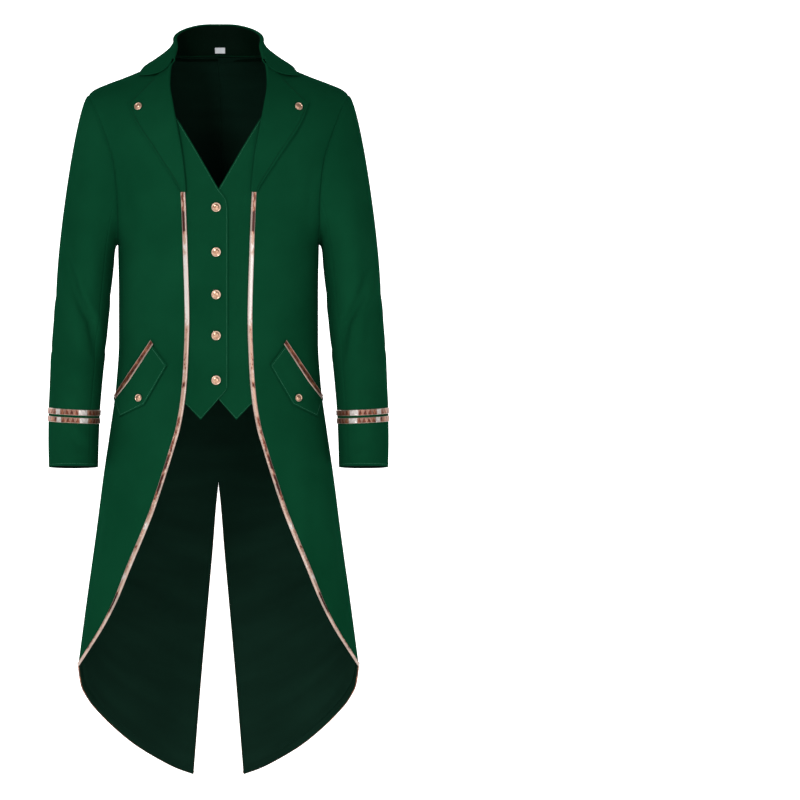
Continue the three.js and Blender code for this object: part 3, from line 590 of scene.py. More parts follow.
# Length of one wave of the wave texture at scale 1
WAVE_LENGTH = 0.314


def twill(finish, pitch, turn):
    wave = add_node(finish, "ShaderNodeTexWave", Scale=WAVE_LENGTH / pitch, Distortion=0.6, Detail=1.0)
    join_nodes(finish, pattern_place(finish, turn=turn), wave.inputs["Vector"])
    return wave.outputs["Fac"]


def suiting_finish(name, dark, light):
    finish, shader = new_finish(name, 0.8, specular=0.0)
    shader.inputs["Sheen Weight"].default_value = 0.02
    shader.inputs["Sheen Roughness"].default_value = 0.4
    shader.inputs["Sheen Tint"].default_value = (0.08, 0.7, 0.42, 1)
    slow = noise(finish, space_place(finish), 9.0, 3.0)
    join_nodes(finish, colours(finish, slow, [(0.3, dark), (0.7, light)]), shader.inputs["Base Color"])
    ribs = twill(finish, TWILL_PITCH, math.radians(60))
    slubs = noise(finish, pattern_place(finish, (60, 900, 1)), 1.0, 2.0)
    add_bump(finish, shader, [(ribs, 0.12, 0.0001), (slubs, 0.12, 0.0002)])
    return finish


SUITING = suiting_finish("green_suiting", (0.0020, 0.0320, 0.0132), (0.0028, 0.0400, 0.0168))


def lining_finish(name, dark, light):
    finish, shader = new_finish(name, 0.6, specular=0.01)
    slow = noise(finish, pattern_place(finish, (3, 14, 1)), 2.0, 2.0)
    join_nodes(finish, colours(finish, slow, [(0.3, dark), (0.7, light)]), shader.inputs["Base Color"])
    threads = twill(finish, SATIN_PITCH, 0.0)
    add_bump(finish, shader, [(threads, 0.08, 0.0001)])
    return finish


LINING = lining_finish("dark_lining", (0.0024, 0.0108, 0.0066), (0.0034, 0.0150, 0.0092))
# The collar stand is painted shade: a near black copy of the lining stands in for the shadow inside the
# collar
STAND_PAINTED_SHADE = lining_finish("collar_stand_painted_shade", (0.0005, 0.0036, 0.0018), (0.0008, 0.0050, 0.0026))
print("finishes:", SUITING.name, LINING.name, STAND_PAINTED_SHADE.name)

# %% Foil
DEEP = (0.040, 0.008, 0.005)
COPPER = (0.160, 0.046, 0.025)
TAN = (0.340, 0.200, 0.148)
PALE = (0.500, 0.455, 0.430)
FOIL_RIM = (0.44, 0.35, 0.30)


def edge_share(finish, across, near, far, soft):
    """1 near both edges of a tape and 0 in its middle, from the shares where the middle starts and ends."""
    low = add_node(finish, "ShaderNodeMapRange", interpolation_type="SMOOTHSTEP")
    high = add_node(finish, "ShaderNodeMapRange", interpolation_type="SMOOTHSTEP")
    for node, start, stop in ((low, near, near + soft), (high, far, far - soft)):
        node.inputs["From Min"].default_value = start
        node.inputs["From Max"].default_value = stop
        node.inputs["To Min"].default_value = 1
        node.inputs["To Max"].default_value = 0
        join_nodes(finish, across, node.inputs["Value"])
    return reckon(finish, "MAXIMUM", low.outputs["Result"], high.outputs["Result"])


def foil_finish(name, stops, stretch, edges, crinkle, heights=None, rows=0, glints=()):
    """Rose gold foil on tape. Stretch sets the size of its patches across and along, in patches a metre."""
    finish, shader = new_finish(name, 0.35, metallic=0.6, specular=0.3)
    across, along = share_place(finish)
    patches = noise(finish, pattern_place(finish, (*stretch, 1)), 1.0, 3.0, 0.6)
    if heights:
        # Painted reflection and painted shade: a brightness given for each height is added to the patches,
        # so stretches of the tape are painted pale and others dark
        parts = add_node(finish, "ShaderNodeSeparateXYZ")
        join_nodes(finish, space_place(finish), parts.inputs["Vector"])
        spread = add_node(finish, "ShaderNodeMapRange")
        spread.inputs["From Min"].default_value = -1.1
        spread.inputs["From Max"].default_value = -0.2
        join_nodes(finish, parts.outputs["Z"], spread.inputs["Value"])
        levels = [(place, (level, level, level)) for place, level in heights]
        level = colours(finish, spread.outputs["Result"], levels)
        patches = reckon(finish, "ADD", patches, reckon(finish, "SUBTRACT", level, 0.5))
    colour = colours(finish, patches, stops)
    if rows:
        # Painted highlight of pressed facets: triangles that point up and down in turn, and every other one
        # is painted tan
        place = reckon(finish, "MULTIPLY", along, rows)
        wave = reckon(finish, "MULTIPLY", reckon(finish, "PINGPONG", place, 0.5), 2.0)
        inside = reckon(finish, "GREATER_THAN", wave, across)
        colour = blend(finish, reckon(finish, "MULTIPLY", inside, 0.55), colour, TAN)
    if glints:
        marks = [(0.0, (0, 0, 0))]
        for start, stop in glints:
            marks += [(start, (1, 1, 1)), (stop, (0, 0, 0))]
        glow = colours(finish, along, marks, "CONSTANT")
        colour = blend(finish, glow, colour, PALE)
    rim = edge_share(finish, across, *edges, 0.06)
    colour = blend(finish, reckon(finish, "MULTIPLY", rim, 0.65), colour, FOIL_RIM)
    join_nodes(finish, colour, shader.inputs["Base Color"])
    fine = noise(finish, pattern_place(finish, (1, 1, 1)), 330.0, 3.0, 0.7)
    add_bump(finish, shader, [(patches, crinkle, 0.002), (fine, crinkle, 0.0005)])
    return finish


print("foil colours:", DEEP, COPPER, TAN, PALE)


# %% Button metal, thread and label
def button_finish(name, rim_highlight_colour, middle_dark, middle_light):
    """Plated metal whose rolled rim is a painted highlight in a paler colour. The share across runs out from
    the button's middle.
    """
    finish, shader = new_finish(name, 0.3, metallic=0.75)
    outward_share, _ = share_place(finish)
    wear = noise(finish, space_place(finish), 210.0, 3.0)
    middle = colours(finish, wear, [(0.38, middle_dark), (0.6, middle_light)])
    # Painted highlight: the rim is painted in the paler rim colour
    rim = colours(finish, outward_share, [(0.62, (0, 0, 0)), (0.8, (1, 1, 1))])
    join_nodes(finish, blend(finish, rim, middle, rim_highlight_colour), shader.inputs["Base Color"])
    add_bump(finish, shader, [(wear, 0.2, 0.0004)])
    return finish


def thread_finish(name, dark, light):
    finish, shader = new_finish(name, 0.7, specular=0.05)
    twist = noise(finish, space_place(finish), 900.0, 2.0)
    join_nodes(finish, colours(finish, twist, [(0.35, dark), (0.65, light)]), shader.inputs["Base Color"])
    add_bump(finish, shader, [(twist, 0.3, 0.0001)])
    return finish


def label_finish():
    finish, shader = new_finish("blank_woven_label", 0.55, specular=0.4)
    picks = twill(finish, LABEL_PITCH, 0.0)
    stops = [(0.2, (0.36, 0.38, 0.40)), (0.8, (0.56, 0.58, 0.60))]
    join_nodes(finish, colours(finish, picks, stops), shader.inputs["Base Color"])
    add_bump(finish, shader, [(picks, 0.3, 0.0002)])
    return finish


print("metal, thread and label ready")

# %% The finishes of the trim, the buttons and the threads
BRIGHT_STOPS = [(0.38, DEEP), (0.45, COPPER), (0.50, TAN), (0.62, (0.365, 0.240, 0.185)), (0.69, PALE)]
DARK_STOPS = [(0.36, DEEP), (0.50, COPPER), (0.66, (0.40, 0.17, 0.09)), (0.78, TAN)]
# Share of the way from the tail's foot to the top of the tape, and the painted brightness there: high for
# painted reflection, low for painted shade
EDGE_PAINTED_GLEAM = [
    (0, 0.54), (0.18, 0.54), (0.2, 0.38), (0.215, 0.38), (0.23, 0.56), (0.365, 0.56), (0.38, 0.41),
    (0.53, 0.42), (0.58, 0.48), (0.6, 0.55), (0.72, 0.56), (0.75, 0.74), (0.87, 0.74), (0.895, 0.5),
    (0.9, 0.36), (0.93, 0.36), (0.945, 0.5), (1, 0.52),
]
EDGE_FOIL = foil_finish("front_edge_foil", BRIGHT_STOPS, (60, 38), (0.54, 0.84), 0.3, heights=EDGE_PAINTED_GLEAM)
VENT_FOIL = foil_finish("vent_foil", DARK_STOPS, (240, 130), (0.06, 0.9), 0.5)
FLAP_FOIL = foil_finish("flap_foil", DARK_STOPS, (90, 60), (0.14, 0.8), 0.25)
BAND_FOIL = foil_finish(
    "band_foil", DARK_STOPS, (60, 130), (0.05, 0.93), 0.3, rows=34,
    glints=[(0.168, 0.204), (0.334, 0.364), (0.628, 0.658), (0.775, 0.83)])
# Each button finish's first colour is its rim's painted highlight
PALE_METAL = button_finish("pale_rose_metal", (0.56, 0.38, 0.28), (0.32, 0.17, 0.105), (0.50, 0.31, 0.21))
COPPER_METAL = button_finish("copper_metal", (0.54, 0.38, 0.28), (0.26, 0.06, 0.025), (0.42, 0.145, 0.065))
GREEN_THREAD = thread_finish("green_thread", (0.018, 0.100, 0.055), (0.045, 0.170, 0.105))
# Near black thread: on the lapels it is partly painted shade, standing in for the shade line along their
# edges
DARK_THREAD_AND_PAINTED_SHADE = thread_finish("dark_thread_and_painted_shade", (0.0008, 0.0085, 0.0040), (0.0014, 0.0130, 0.0060))
LABEL_WEAVE = label_finish()
print("finishes in all:", len(bpy.data.materials))

# %% [markdown]
# ## Creases
# A worn coat shows few folds on the body and some where the sleeve bends. A simulation would put them where
# it likes. Each crease here is a line drawn on the front, the back or the side of the coat, with a soft
# trough along it and a low ridge beside it, and it fades out at both ends.

# %% Troughs and ridges along a drawn line
PLANES = {"front": (0, 2, 1, -1), "back": (0, 2, 1, 1), "side": (1, 2, 0, 1)}


def crease(grid, normals, plane, line, depth, width, lip=0.4):
    """How far one crease moves each point of a grid along its normal."""
    first, second, facing, way = PLANES[plane]
    place = grid[..., [first, second]]
    line = np.array(line, float)
    nearest = np.full(grid.shape[:2], 1e9)
    hand, along = np.zeros_like(nearest), np.zeros_like(nearest)
    run = 0.0
    for start, end in zip(line[:-1], line[1:]):
        step = end - start
        length = np.linalg.norm(step)
        share = np.clip((place - start) @ step / length ** 2, 0, 1)
        offset = place - start - share[..., None] * step
        distance = np.linalg.norm(offset, axis=-1)
        closer = distance < nearest
        side = np.sign(step[0] * offset[..., 1] - step[1] * offset[..., 0])
        nearest = np.where(closer, distance, nearest)
        hand = np.where(closer, side, hand)
        along = np.where(closer, run + share * length, along)
        run += length
    across = nearest * hand / width
    profile = lip * np.exp(-(across - 1.7) ** 2) - np.exp(-across ** 2)
    seen = np.abs(normals[..., facing]) if plane == "side" else way * normals[..., facing]
    fade = np.maximum(np.sin(np.pi * np.clip(along / run, 0, 1)), 0) ** 0.8
    return fade * profile * depth * smoothstep(seen, 0.05, 0.45)


def with_creases(grid, hint, creases, tube=False, seams=()):
    """The grid with its creases, which fade out towards the named seams."""
    normals, _ = grid_normals(grid, tube, hint)
    moved = sum(crease(grid, normals, *one) for one in creases)
    for seam in seams:
        edge = grid[:, -1:] if seam == "last column" else grid[:1]
        moved = moved * smoothstep(np.linalg.norm(grid - edge, axis=-1), 3, 26)
    return grid + normals * np.asarray(moved)[..., None]


print("sides that a crease is drawn on:", ", ".join(PLANES))

# %% Creases of the fronts and the back
# For each one: the side that it is drawn on, its points, its depth and its width
FRONT_CREASES = {
    "left": [
        ("front", [(178, -150), (160, -205), (150, -262), (148, -330)], 1.6, 11),
        ("front", [(128, -116), (124, -170), (112, -236)], 0.8, 12),
        ("front", [(150, -430), (120, -452), (84, -462)], 0.9, 10),
        ("front", [(168, -640), (158, -740), (162, -840), (172, -930)], 2.4, 16),
        ("front", [(120, -650), (118, -730), (130, -810)], 1.5, 15),
        ("side", [(-30, -380), (-16, -440), (-24, -500)], 1.5, 11),
        ("side", [(-40, -700), (-30, -800), (-34, -930)], 2.2, 15),
    ],
    "right": [
        ("front", [(-180, -146), (-164, -198), (-152, -268), (-149, -345)], 1.8, 12),
        ("front", [(-130, -122), (-122, -180), (-114, -230)], 0.7, 13),
        ("front", [(-146, -436), (-118, -450), (-88, -456)], 1.0, 11),
        ("front", [(-172, -630), (-160, -735), (-166, -850), (-178, -935)], 2.2, 17),
        ("front", [(-124, -640), (-119, -735), (-128, -800)], 1.7, 14),
        ("side", [(-26, -376), (-18, -446), (-26, -508)], 1.4, 12),
        ("side", [(-36, -690), (-32, -810), (-30, -940)], 2.4, 16),
    ],
}
BACK_CREASES = [
    ("back", [(176, -150), (158, -214), (148, -290)], 1.7, 12),
    ("back", [(-178, -156), (-160, -208), (-150, -300)], 1.6, 13),
    ("back", [(150, -405), (112, -430), (92, -436)], 1.0, 11),
    ("back", [(-148, -398), (-116, -424), (-92, -434)], 1.1, 10),
    ("back", [(60, -475), (74, -600), (66, -720)], 1.6, 17),
    ("back", [(-66, -478), (-72, -590), (-70, -716)], 1.4, 16),
    ("back", [(150, -640), (168, -800), (176, -980)], 3.0, 18),
    ("back", [(-154, -650), (-166, -810), (-180, -990)], 2.8, 19),
    ("back", [(92, -800), (104, -930), (100, -1080)], 3.0, 20),
    ("back", [(-88, -790), (-102, -940), (-104, -1090)], 3.2, 19),
    ("side", [(40, -700), (52, -820), (50, -960)], 2.2, 16),
]
print("creases:", sum(map(len, FRONT_CREASES.values())) + len(BACK_CREASES))

# %% [markdown]
# ## Fronts and back
# At each seam two layers are stitched and pressed open, so the cloth dips into a narrow valley there. The
# panels meet edge to edge, and a dip of one or two millimetres along the edge makes the seam show the way
# it does on a real coat, as a fine dark line.

# %% Rows, columns and seam valleys
CLOTH = 1.6


def even_levels(count_round, count_straight):
    """Rows above the armpit, evenly spaced over the round of the shoulder."""
    height = -ARMPIT_Z
    turn = np.linspace(0, np.pi / 2, count_round)
    top = 1 - SHOULDER_ROUND[FRONT] / height * (1 - np.cos(turn))
    levels = np.concatenate([top, np.linspace(top[-1], 0, count_straight)[1:]])
    return np.interp(-levels, -UPPER_ROWS, np.arange(ARMPIT_ROW + 1))


def even_heights(spacings):
    """Rows below the armpit, with each stretch's lower end and spacing in millimetres."""
    heights, start = [], ARMPIT_Z
    for end, spacing in spacings:
        heights.append(np.linspace(start, end, round((start - end) / spacing) + 1)[1:])
        start = end
    return ARMPIT_ROW + np.interp(-np.concatenate(heights), -LOWER_ROWS, np.arange(len(LOWER_ROWS)))


def fine_shares(count):
    """Shares from 0 to 1, with a few more close to both ends."""
    close = np.array([0.003, 0.007, 0.012])
    return np.unique(np.concatenate([np.linspace(0, 1, count), close, 1 - close]))


print("shares across a front:", len(fine_shares(60)))

# %% Seam valleys
# Depth and width of the valley at the armhole and side seam, and at the shoulder and neck seam
SIDE_VALLEY = (1.7, 2.2)
TOP_VALLEY = (0.9, 1.7)


def dip(distance, valley):
    depth, width = valley
    return depth * np.exp(-(distance / width) ** 2)


def seam_valley(grid):
    """Lowers a grid near its seams, straight towards the middle, so that two panels keep meeting."""
    across = np.linalg.norm(np.diff(grid, axis=1), axis=-1)
    down = np.linalg.norm(np.diff(grid, axis=0), axis=-1)
    from_side = np.concatenate([np.flip(np.cumsum(np.flip(across, 1), 1), 1), 0 * across[:, :1]], 1)
    from_top = np.concatenate([0 * down[:1], np.cumsum(down, 0)])
    moved = np.maximum(dip(from_side, SIDE_VALLEY), dip(from_top, TOP_VALLEY))
    return grid - unit(outward(grid)) * moved[..., None]


def outward(grid):
    """A rough direction away from the middle of the body."""
    middle = np.stack([0 * grid[..., 0], read(BODY, "sideY", grid[..., 2]), grid[..., 2]], -1)
    return grid - middle


TOP_ROWS = even_levels(46, 30)
print("rows above the armpit:", len(TOP_ROWS))

# %% The two fronts
front_rows = np.concatenate([TOP_ROWS, even_heights([(FRONT_TURN_Z, 5.2), (SIDE_HEM_Z, 4.2)])])
front_grid = front_surface(front_rows[:, None], fine_shares(60)[None])
for hand in ("left", "right"):
    grid = front_grid if hand == "left" else mirrored(front_grid)
    grid = with_creases(grid, outward(grid), FRONT_CREASES[hand], seams=["last column", "first row"])
    grid = seam_valley(grid)
    piece = cloth_piece(f"front_{hand}_cloth", [grid], CLOTH, [outward(grid)], [SUITING, LINING])
    stand_for(piece, "cloth", f"front_{hand}")

# %% The back, whole down to the vent and in two tails below it
back_rows = np.concatenate([TOP_ROWS, even_heights([(VENT_TOP_Z, 5.2), (SIDE_HEM_Z, 3.6)])])
back_shares = np.unique(np.concatenate([fine_shares(62), [NECK_SHARE]]))
back_grid = back_surface(back_rows[:, None], back_shares[None])
halves = []
for grid in (back_grid, mirrored(back_grid)):
    grid = with_creases(grid, outward(grid), BACK_CREASES, seams=["last column", "first row"])
    halves.append(seam_valley(grid))
piece = cloth_piece("back_cloth", halves, CLOTH, [outward(half) for half in halves], [SUITING, LINING])
stand_for(piece, "cloth", "back")

# %% [markdown]
# ## Sleeves
# A tailored sleeve is cut in two parts, a wide top and a narrow under sleeve, and its cap is eased into the
# armhole. The tube here leaves the armhole along curves that start sideways and end downwards, which gives
# the cap its crown. One tube keeps the cloth whole, and the two seams are valleys pressed into it.

# %% Measures of the sleeve
SLEEVE = table("z outer inner depth centreY", [
    (-350, 268.5, 174.3, 74, 3),
    (-400, 272, 179.5, 70, 1),
    (-450, 276, 184, 66, -1),
    (-500, 280, 189, 62, -4),
    (-550, 282, 194, 58, -8),
    (-600, 284, 198, 54, -13),
    (-645, 284.3, 199.8, 51, -18),
    (-688, 283.5, 201, 49, -23),
])
CAP_FOOT_Z = -350
CUFF_Z = -688
CUFF_TILT = 0.05
CUFF_TILT_LENGTH = 250
CAP_FULLNESS = 70
UNDERARM_FULLNESS = 24
RING_ANGLES = [0, 12, 26, 42, 60, 78, 96, 114, 131, 155, 180]
RING_ANGLES += [360 - angle for angle in reversed(RING_ANGLES[:-1])]
SEAM_ANGLES = (math.radians(131), math.radians(229))

# Soft troughs: middle height, angle there, slant, depth, half width and half length
SLEEVE_FOLDS = [
    (-398, 78, -0.62, 4.5, 17, 66),
    (-478, 62, -0.5, 2.2, 16, 34),
    (-452, 264, 0.5, 3.2, 17, 52),
    (-520, 290, 0.45, 2, 16, 34),
]


print("sleeve from the cap's foot to the cuff:", CAP_FOOT_Z - CUFF_Z, "mm")


# %% Points and directions on the sleeve
def sleeve_fold(angle, z):
    radius = (read(SLEEVE, "outer", z) - read(SLEEVE, "inner", z)) / 2
    total = 0.0
    for middle_z, middle, slant, depth, width, length in SLEEVE_FOLDS:
        turn = (np.degrees(angle) - middle - slant * (z - middle_z) + 180) % 360 - 180
        aside = np.radians(turn) * radius / width
        total = total + depth * np.exp(-aside ** 2 - ((z - middle_z) / length) ** 2)
    return total


def sleeve_form(angle, z):
    angle, z = np.broadcast_arrays(np.asarray(angle, float), np.asarray(z, float))
    outer, inner = read(SLEEVE, "outer", z), read(SLEEVE, "inner", z)
    forward = read(SLEEVE, "depth", z) * np.sin(angle)
    tilt = CUFF_TILT * np.clip((CAP_FOOT_Z - z) / CUFF_TILT_LENGTH, 0, 1)
    x = (outer + inner) / 2 + (outer - inner) / 2 * np.cos(angle)
    return np.stack([x, read(SLEEVE, "centreY", z) - forward, z + tilt * forward], -1)


def sleeve_normal(angle, z):
    turned = sleeve_form(angle + 0.01, z) - sleeve_form(angle - 0.01, z)
    lowered = sleeve_form(angle, z - 2) - sleeve_form(angle, z + 2)
    return unit(np.cross(turned, lowered))


def on_sleeve(angle, z, lift=0.0):
    moved = np.asarray(lift - sleeve_fold(angle, z))
    return sleeve_form(angle, z) + sleeve_normal(angle, z) * moved[..., None]


def armhole_loop(angle, share=1.0):
    """The armhole from the shoulder down the front to the armpit and up the back."""
    place = np.interp(np.degrees(angle), RING_ANGLES, np.arange(len(RING_ANGLES)))
    front = front_surface(np.minimum(place, ARMPIT_ROW), share)
    back = back_surface(np.minimum(2 * ARMPIT_ROW - place, ARMPIT_ROW), share)
    return np.where((place <= ARMPIT_ROW)[..., None], front, back)


def sleeve_cap(angle, share):
    start, end = armhole_loop(angle), on_sleeve(angle, CAP_FOOT_Z)
    fullness = lerp(UNDERARM_FULLNESS, CAP_FULLNESS, (1 + np.cos(angle)) / 2)
    leave = np.stack([0.72 + 0 * angle, -0.3 * np.sin(angle), -0.66 + 0 * angle], -1) * fullness[..., None]
    chord = np.linalg.norm(end - start, axis=-1, keepdims=True)
    return hermite(start, leave, end, np.array([0.08, 0.02, -1.0]) * chord, share[..., None])


print("cuff ring from", on_sleeve(math.pi, CUFF_Z).round(1), "to", on_sleeve(0.0, CUFF_Z).round(1))

# %% Creases of the two sleeves
# As on the body, and the last number, where there is one, is the height of the ridge beside the trough
SLEEVE_CREASES = {
    "right": [
        ("front", [
            (-258, -318), (-249, -362), (-238, -399), (-226, -424), (-214, -443), (-208, -476), (-206, -512),
        ], 7.0, 7.5, 0.35),
        ("front", [(-266, -408), (-252, -460), (-240, -500)], 2.6, 8, 0.4),
        ("front", [(-232, -150), (-240, -205), (-246, -262)], 1.3, 9),
        ("front", [(-214, -330), (-222, -372), (-219, -408)], 1.3, 8),
        ("front", [(-262, -520), (-248, -548), (-226, -562)], 2.0, 9),
        ("front", [(-258, -622), (-240, -644), (-218, -662)], 2.2, 9, 0.9),
        ("back", [(-254, -382), (-238, -414), (-220, -436), (-206, -470)], 2.6, 7, 0.5),
        ("back", [(-262, -446), (-246, -474), (-230, -492)], 1.8, 7, 0.5),
        ("back", [(-236, -170), (-246, -236), (-250, -300)], 1.4, 10),
        ("side", [(30, -360), (4, -402), (-22, -428)], 1.9, 8),
        ("side", [(34, -452), (8, -486), (-20, -500)], 1.4, 8),
    ],
    "left": [
        ("front", [
            (259, -322), (250, -366), (239, -402), (226, -426), (214, -446), (208, -480), (206, -516),
        ], 6.6, 7.5, 0.35),
        ("front", [(267, -402), (253, -452), (241, -496)], 2.5, 8, 0.4),
        ("front", [(233, -146), (241, -198), (247, -270)], 1.2, 10),
        ("front", [(213, -336), (221, -380), (217, -414)], 1.4, 8),
        ("front", [(264, -526), (250, -552), (230, -560)], 1.9, 9),
        ("front", [(256, -624), (239, -647), (219, -664)], 2.1, 9, 0.9),
        ("back", [(256, -376), (240, -410), (221, -434), (207, -474)], 2.7, 7, 0.5),
        ("back", [(260, -452), (246, -480), (232, -500)], 1.7, 7, 0.5),
        ("back", [(236, -176), (245, -240), (251, -296)], 1.3, 10),
        ("side", [(28, -366), (0, -404), (-24, -434)], 1.8, 8),
        ("side", [(32, -446), (10, -482), (-16, -498)], 1.5, 8),
    ],
}


print("creases of the sleeves:", sum(map(len, SLEEVE_CREASES.values())))

# %% Seams of the sleeve
LONG_VALLEY = (0.55, 1.7)
ARMHOLE_ROWS = 8


def sleeve_valleys(grid, normals, angles):
    """The two long seams, and the dip where the cap is sewn in."""
    moved = np.zeros(grid.shape[:2])
    for seam in SEAM_ANGLES:
        column = np.argmin(np.abs(angles - seam))
        distance = np.linalg.norm(grid - grid[:, column:column + 1], axis=-1)
        moved = np.maximum(moved, dip(distance, LONG_VALLEY))
    run = np.cumsum(np.linalg.norm(np.diff(grid[:ARMHOLE_ROWS], axis=0), axis=-1), 0)
    sunk = np.zeros_like(moved)
    sunk[0] = SIDE_VALLEY[0]
    sunk[1:ARMHOLE_ROWS] = dip(run, SIDE_VALLEY)
    return grid - normals * moved[..., None] - unit(outward(grid)) * sunk[..., None]


print("valley of a long seam:", LONG_VALLEY[0], "mm deep")

# %% The two sleeves
# The sleeve's seam allowance goes in behind the body's cloth, just short of the armhole
ALLOWANCE_SHARE = 0.97
ALLOWANCE_GAP = 1.2
sleeve_angles = np.linspace(0, 2 * np.pi, 97)[:-1]
for seam in SEAM_ANGLES:
    sleeve_angles = np.concatenate([sleeve_angles, seam + np.radians([-2.6, -1.3, 0, 1.3, 2.6])])
sleeve_angles = np.unique(sleeve_angles.round(4))
cap_shares = np.concatenate([[0, 0.006, 0.014, 0.024], np.linspace(0.045, 1, 48)[:-1]])
sleeve_heights = np.linspace(CAP_FOOT_Z, CUFF_Z, 82)
cap_angles = np.broadcast_to(sleeve_angles, (len(cap_shares), len(sleeve_angles)))
cap_grid = sleeve_cap(cap_angles, cap_shares[:, None])
ring_grid = on_sleeve(sleeve_angles[None], sleeve_heights[:, None])
sleeve_grid = np.concatenate([cap_grid, ring_grid])
for hand in ("left", "right"):
    grid = sleeve_grid * sides(hand)
    around = grid - grid.mean(1, keepdims=True)
    grid = with_creases(grid, around, SLEEVE_CREASES[hand], tube=True, seams=["first row"])
    normals, _ = grid_normals(grid, True, around)
    grid = sleeve_valleys(grid, normals, sleeve_angles)
    allowance = armhole_loop(sleeve_angles, ALLOWANCE_SHARE) * sides(hand)
    allowance -= unit(outward(allowance)) * (CLOTH + ALLOWANCE_GAP)
    grid = np.concatenate([allowance[None], grid])
    around = np.concatenate([around[:1], around])
    piece = cloth_piece(f"sleeve_{hand}_cloth", [grid], CLOTH, [around], [SUITING, LINING], tube=True)
    stand_for(piece, "cloth", f"sleeve_top_{hand}", f"sleeve_under_{hand}")

# %% [markdown]
# ## Collar
# A turned-down collar is a band that stands up round the neck and folds over outwards. A sheet with a sharp
# bend in it looks like paper, so the fold here is a small half circle, and the fall rolls away from it in
# one curve that ends in the two pointed wings at the front.

# %% Lines that the collar is drawn through
COLLAR = np.array([
    [(0, 68, 48), (0, 78, 26), (0, 84, -1)],
    [(30, 64, 47), (34, 74, 25), (37, 80, -1)],
    [(57, 46, 40), (64, 56, 20), (72, 66, -3)],
    [(72, 12, 29), (79, 18, 12), (105, 26, -12)],
    [(71, -16, 12), (87, -12, 2), (122, -6, -19)],
    [(76, -41, -8), (97, -60, -28), (134, -34, -34)],
], float)
FOLD_RADIUS = 1.8
STAND_ROWS = 12
FOLD_ROWS = 7
FALL_ROWS = 22


def through_points(points, at):
    """A smooth curve through points, read at any place from 0 to the last one's number."""
    ends = [2 * points[:1] - points[1:2], points, 2 * points[-1:] - points[-2:-1]]
    padded = np.concatenate(ends)
    i = np.clip(np.floor(at).astype(int), 0, len(points) - 2)
    share = (at - i)[..., None]
    before, start, end, after = (padded[i + k] for k in range(4))
    return hermite(start, (end - before) / 2, end, (after - start) / 2, share)


def neck_line(station):
    """The neck seam: along the back to the shoulder, then down the first rows of the front."""
    back = back_surface(0.0, NECK_SHARE * np.minimum(station, 3) / 3)
    front = front_surface(np.clip(station - 3, 0, 2), 0.0)
    return np.where((station <= 3)[..., None], back, front)


def neck_allowance(station):
    """The collar's seam allowance: it goes down between the cloth and its lining."""
    back = back_surface(1.3, NECK_SHARE * np.minimum(station, 3) / 3)
    back -= form_normal(BACK, *np.moveaxis(back, -1, 0)) * (CLOTH + 0.25)
    front = front_surface(np.clip(station - 3, 0, 2), 0.04)
    front -= form_normal(FRONT, *np.moveaxis(front, -1, 0)) * (CLOTH + 0.4)
    return np.where((station <= 3)[..., None], back, front)


print("neck seam from", neck_line(np.array([0.0])).round(1), "to", neck_line(np.array([5.0])).round(1))


# %% Rows of the collar
def collar_half(stations):
    """Rows from the allowance up the stand, over the fold and down the fall, for one half."""
    whole = np.concatenate([COLLAR[:0:-1] * np.array([-1.0, 1, 1]), COLLAR])
    fold, middle, edge = (through_points(whole[:, k], stations + len(COLLAR) - 1) for k in range(3))
    neck = neck_line(stations)
    out = edge - fold
    out[:, 2] = 0
    out = unit(out)
    inner, outer = fold - out * FOLD_RADIUS, fold + out * FOLD_RADIUS
    rows = [neck_allowance(stations)]
    rows += [lerp(neck, inner, share) for share in np.linspace(0, 1, STAND_ROWS)]
    for turn in np.linspace(0, np.pi, FOLD_ROWS + 2)[1:-1]:
        rows.append(fold - out * FOLD_RADIUS * np.cos(turn) + np.array([0, 0, FOLD_RADIUS]) * np.sin(turn))
    for share in np.linspace(0, 1, FALL_ROWS):
        bend = middle - (outer + edge) / 2
        rows.append(lerp(outer, edge, share) + bend * 4 * share * (1 - share))
    return np.stack(rows)


FOLD_ROW = 1 + STAND_ROWS + FOLD_ROWS // 2
collar_stations = np.linspace(0, len(COLLAR) - 1, 61)
half = collar_half(collar_stations)
collar_grid = np.concatenate([mirrored(half[:, :0:-1]), half], 1)
print("collar points:", collar_grid.shape, "fold at the back", half[FOLD_ROW, 0].round(1))

# %% The collar
COLLAR_THICKNESS = 1.8
collar_hint = collar_grid - collar_grid[FOLD_ROW] + np.array([0.0, 0.0, 40.0])
collar_hint[:FOLD_ROW] = -(collar_grid[:FOLD_ROW] * np.array([1.0, 1.0, 0.0]))
COLLAR_CREASES = [
    ("back", [(-64, 30), (-52, 12), (-58, -2)], 0.8, 9),
    ("back", [(58, 34), (60, 14), (50, 0)], 0.9, 8),
    ("back", [(8, 40), (12, 22), (6, 6)], 0.5, 12),
]
grid = with_creases(collar_grid, collar_hint, COLLAR_CREASES)
piece = cloth_piece("collar_cloth", [grid], COLLAR_THICKNESS, [-collar_hint], [SUITING])
# The stand rows, outside and inside, take the stand's painted shade
piece.data.materials.append(STAND_PAINTED_SHADE)
stand_faces = (FOLD_ROW - 3) * (grid.shape[1] - 1)
sheet_faces = (grid.shape[0] - 1) * (grid.shape[1] - 1)
finish_numbers = np.zeros(len(piece.data.polygons), int)
finish_numbers[:stand_faces] = 1
finish_numbers[sheet_faces:sheet_faces + stand_faces] = 1
piece.data.polygons.foreach_set("material_index", finish_numbers)
stand_for(piece, "cloth", "collar")

# %% [markdown]
# ## Lapels
# A lapel is the top of the front folded back on itself. Its outer edge is pressed sharp and stands a little
# off the front, which draws a thin shadow. The fold rolls, because canvas inside keeps it open. So each
# lapel rises again towards the roll line and turns round it in an arc that tucks in behind the front.

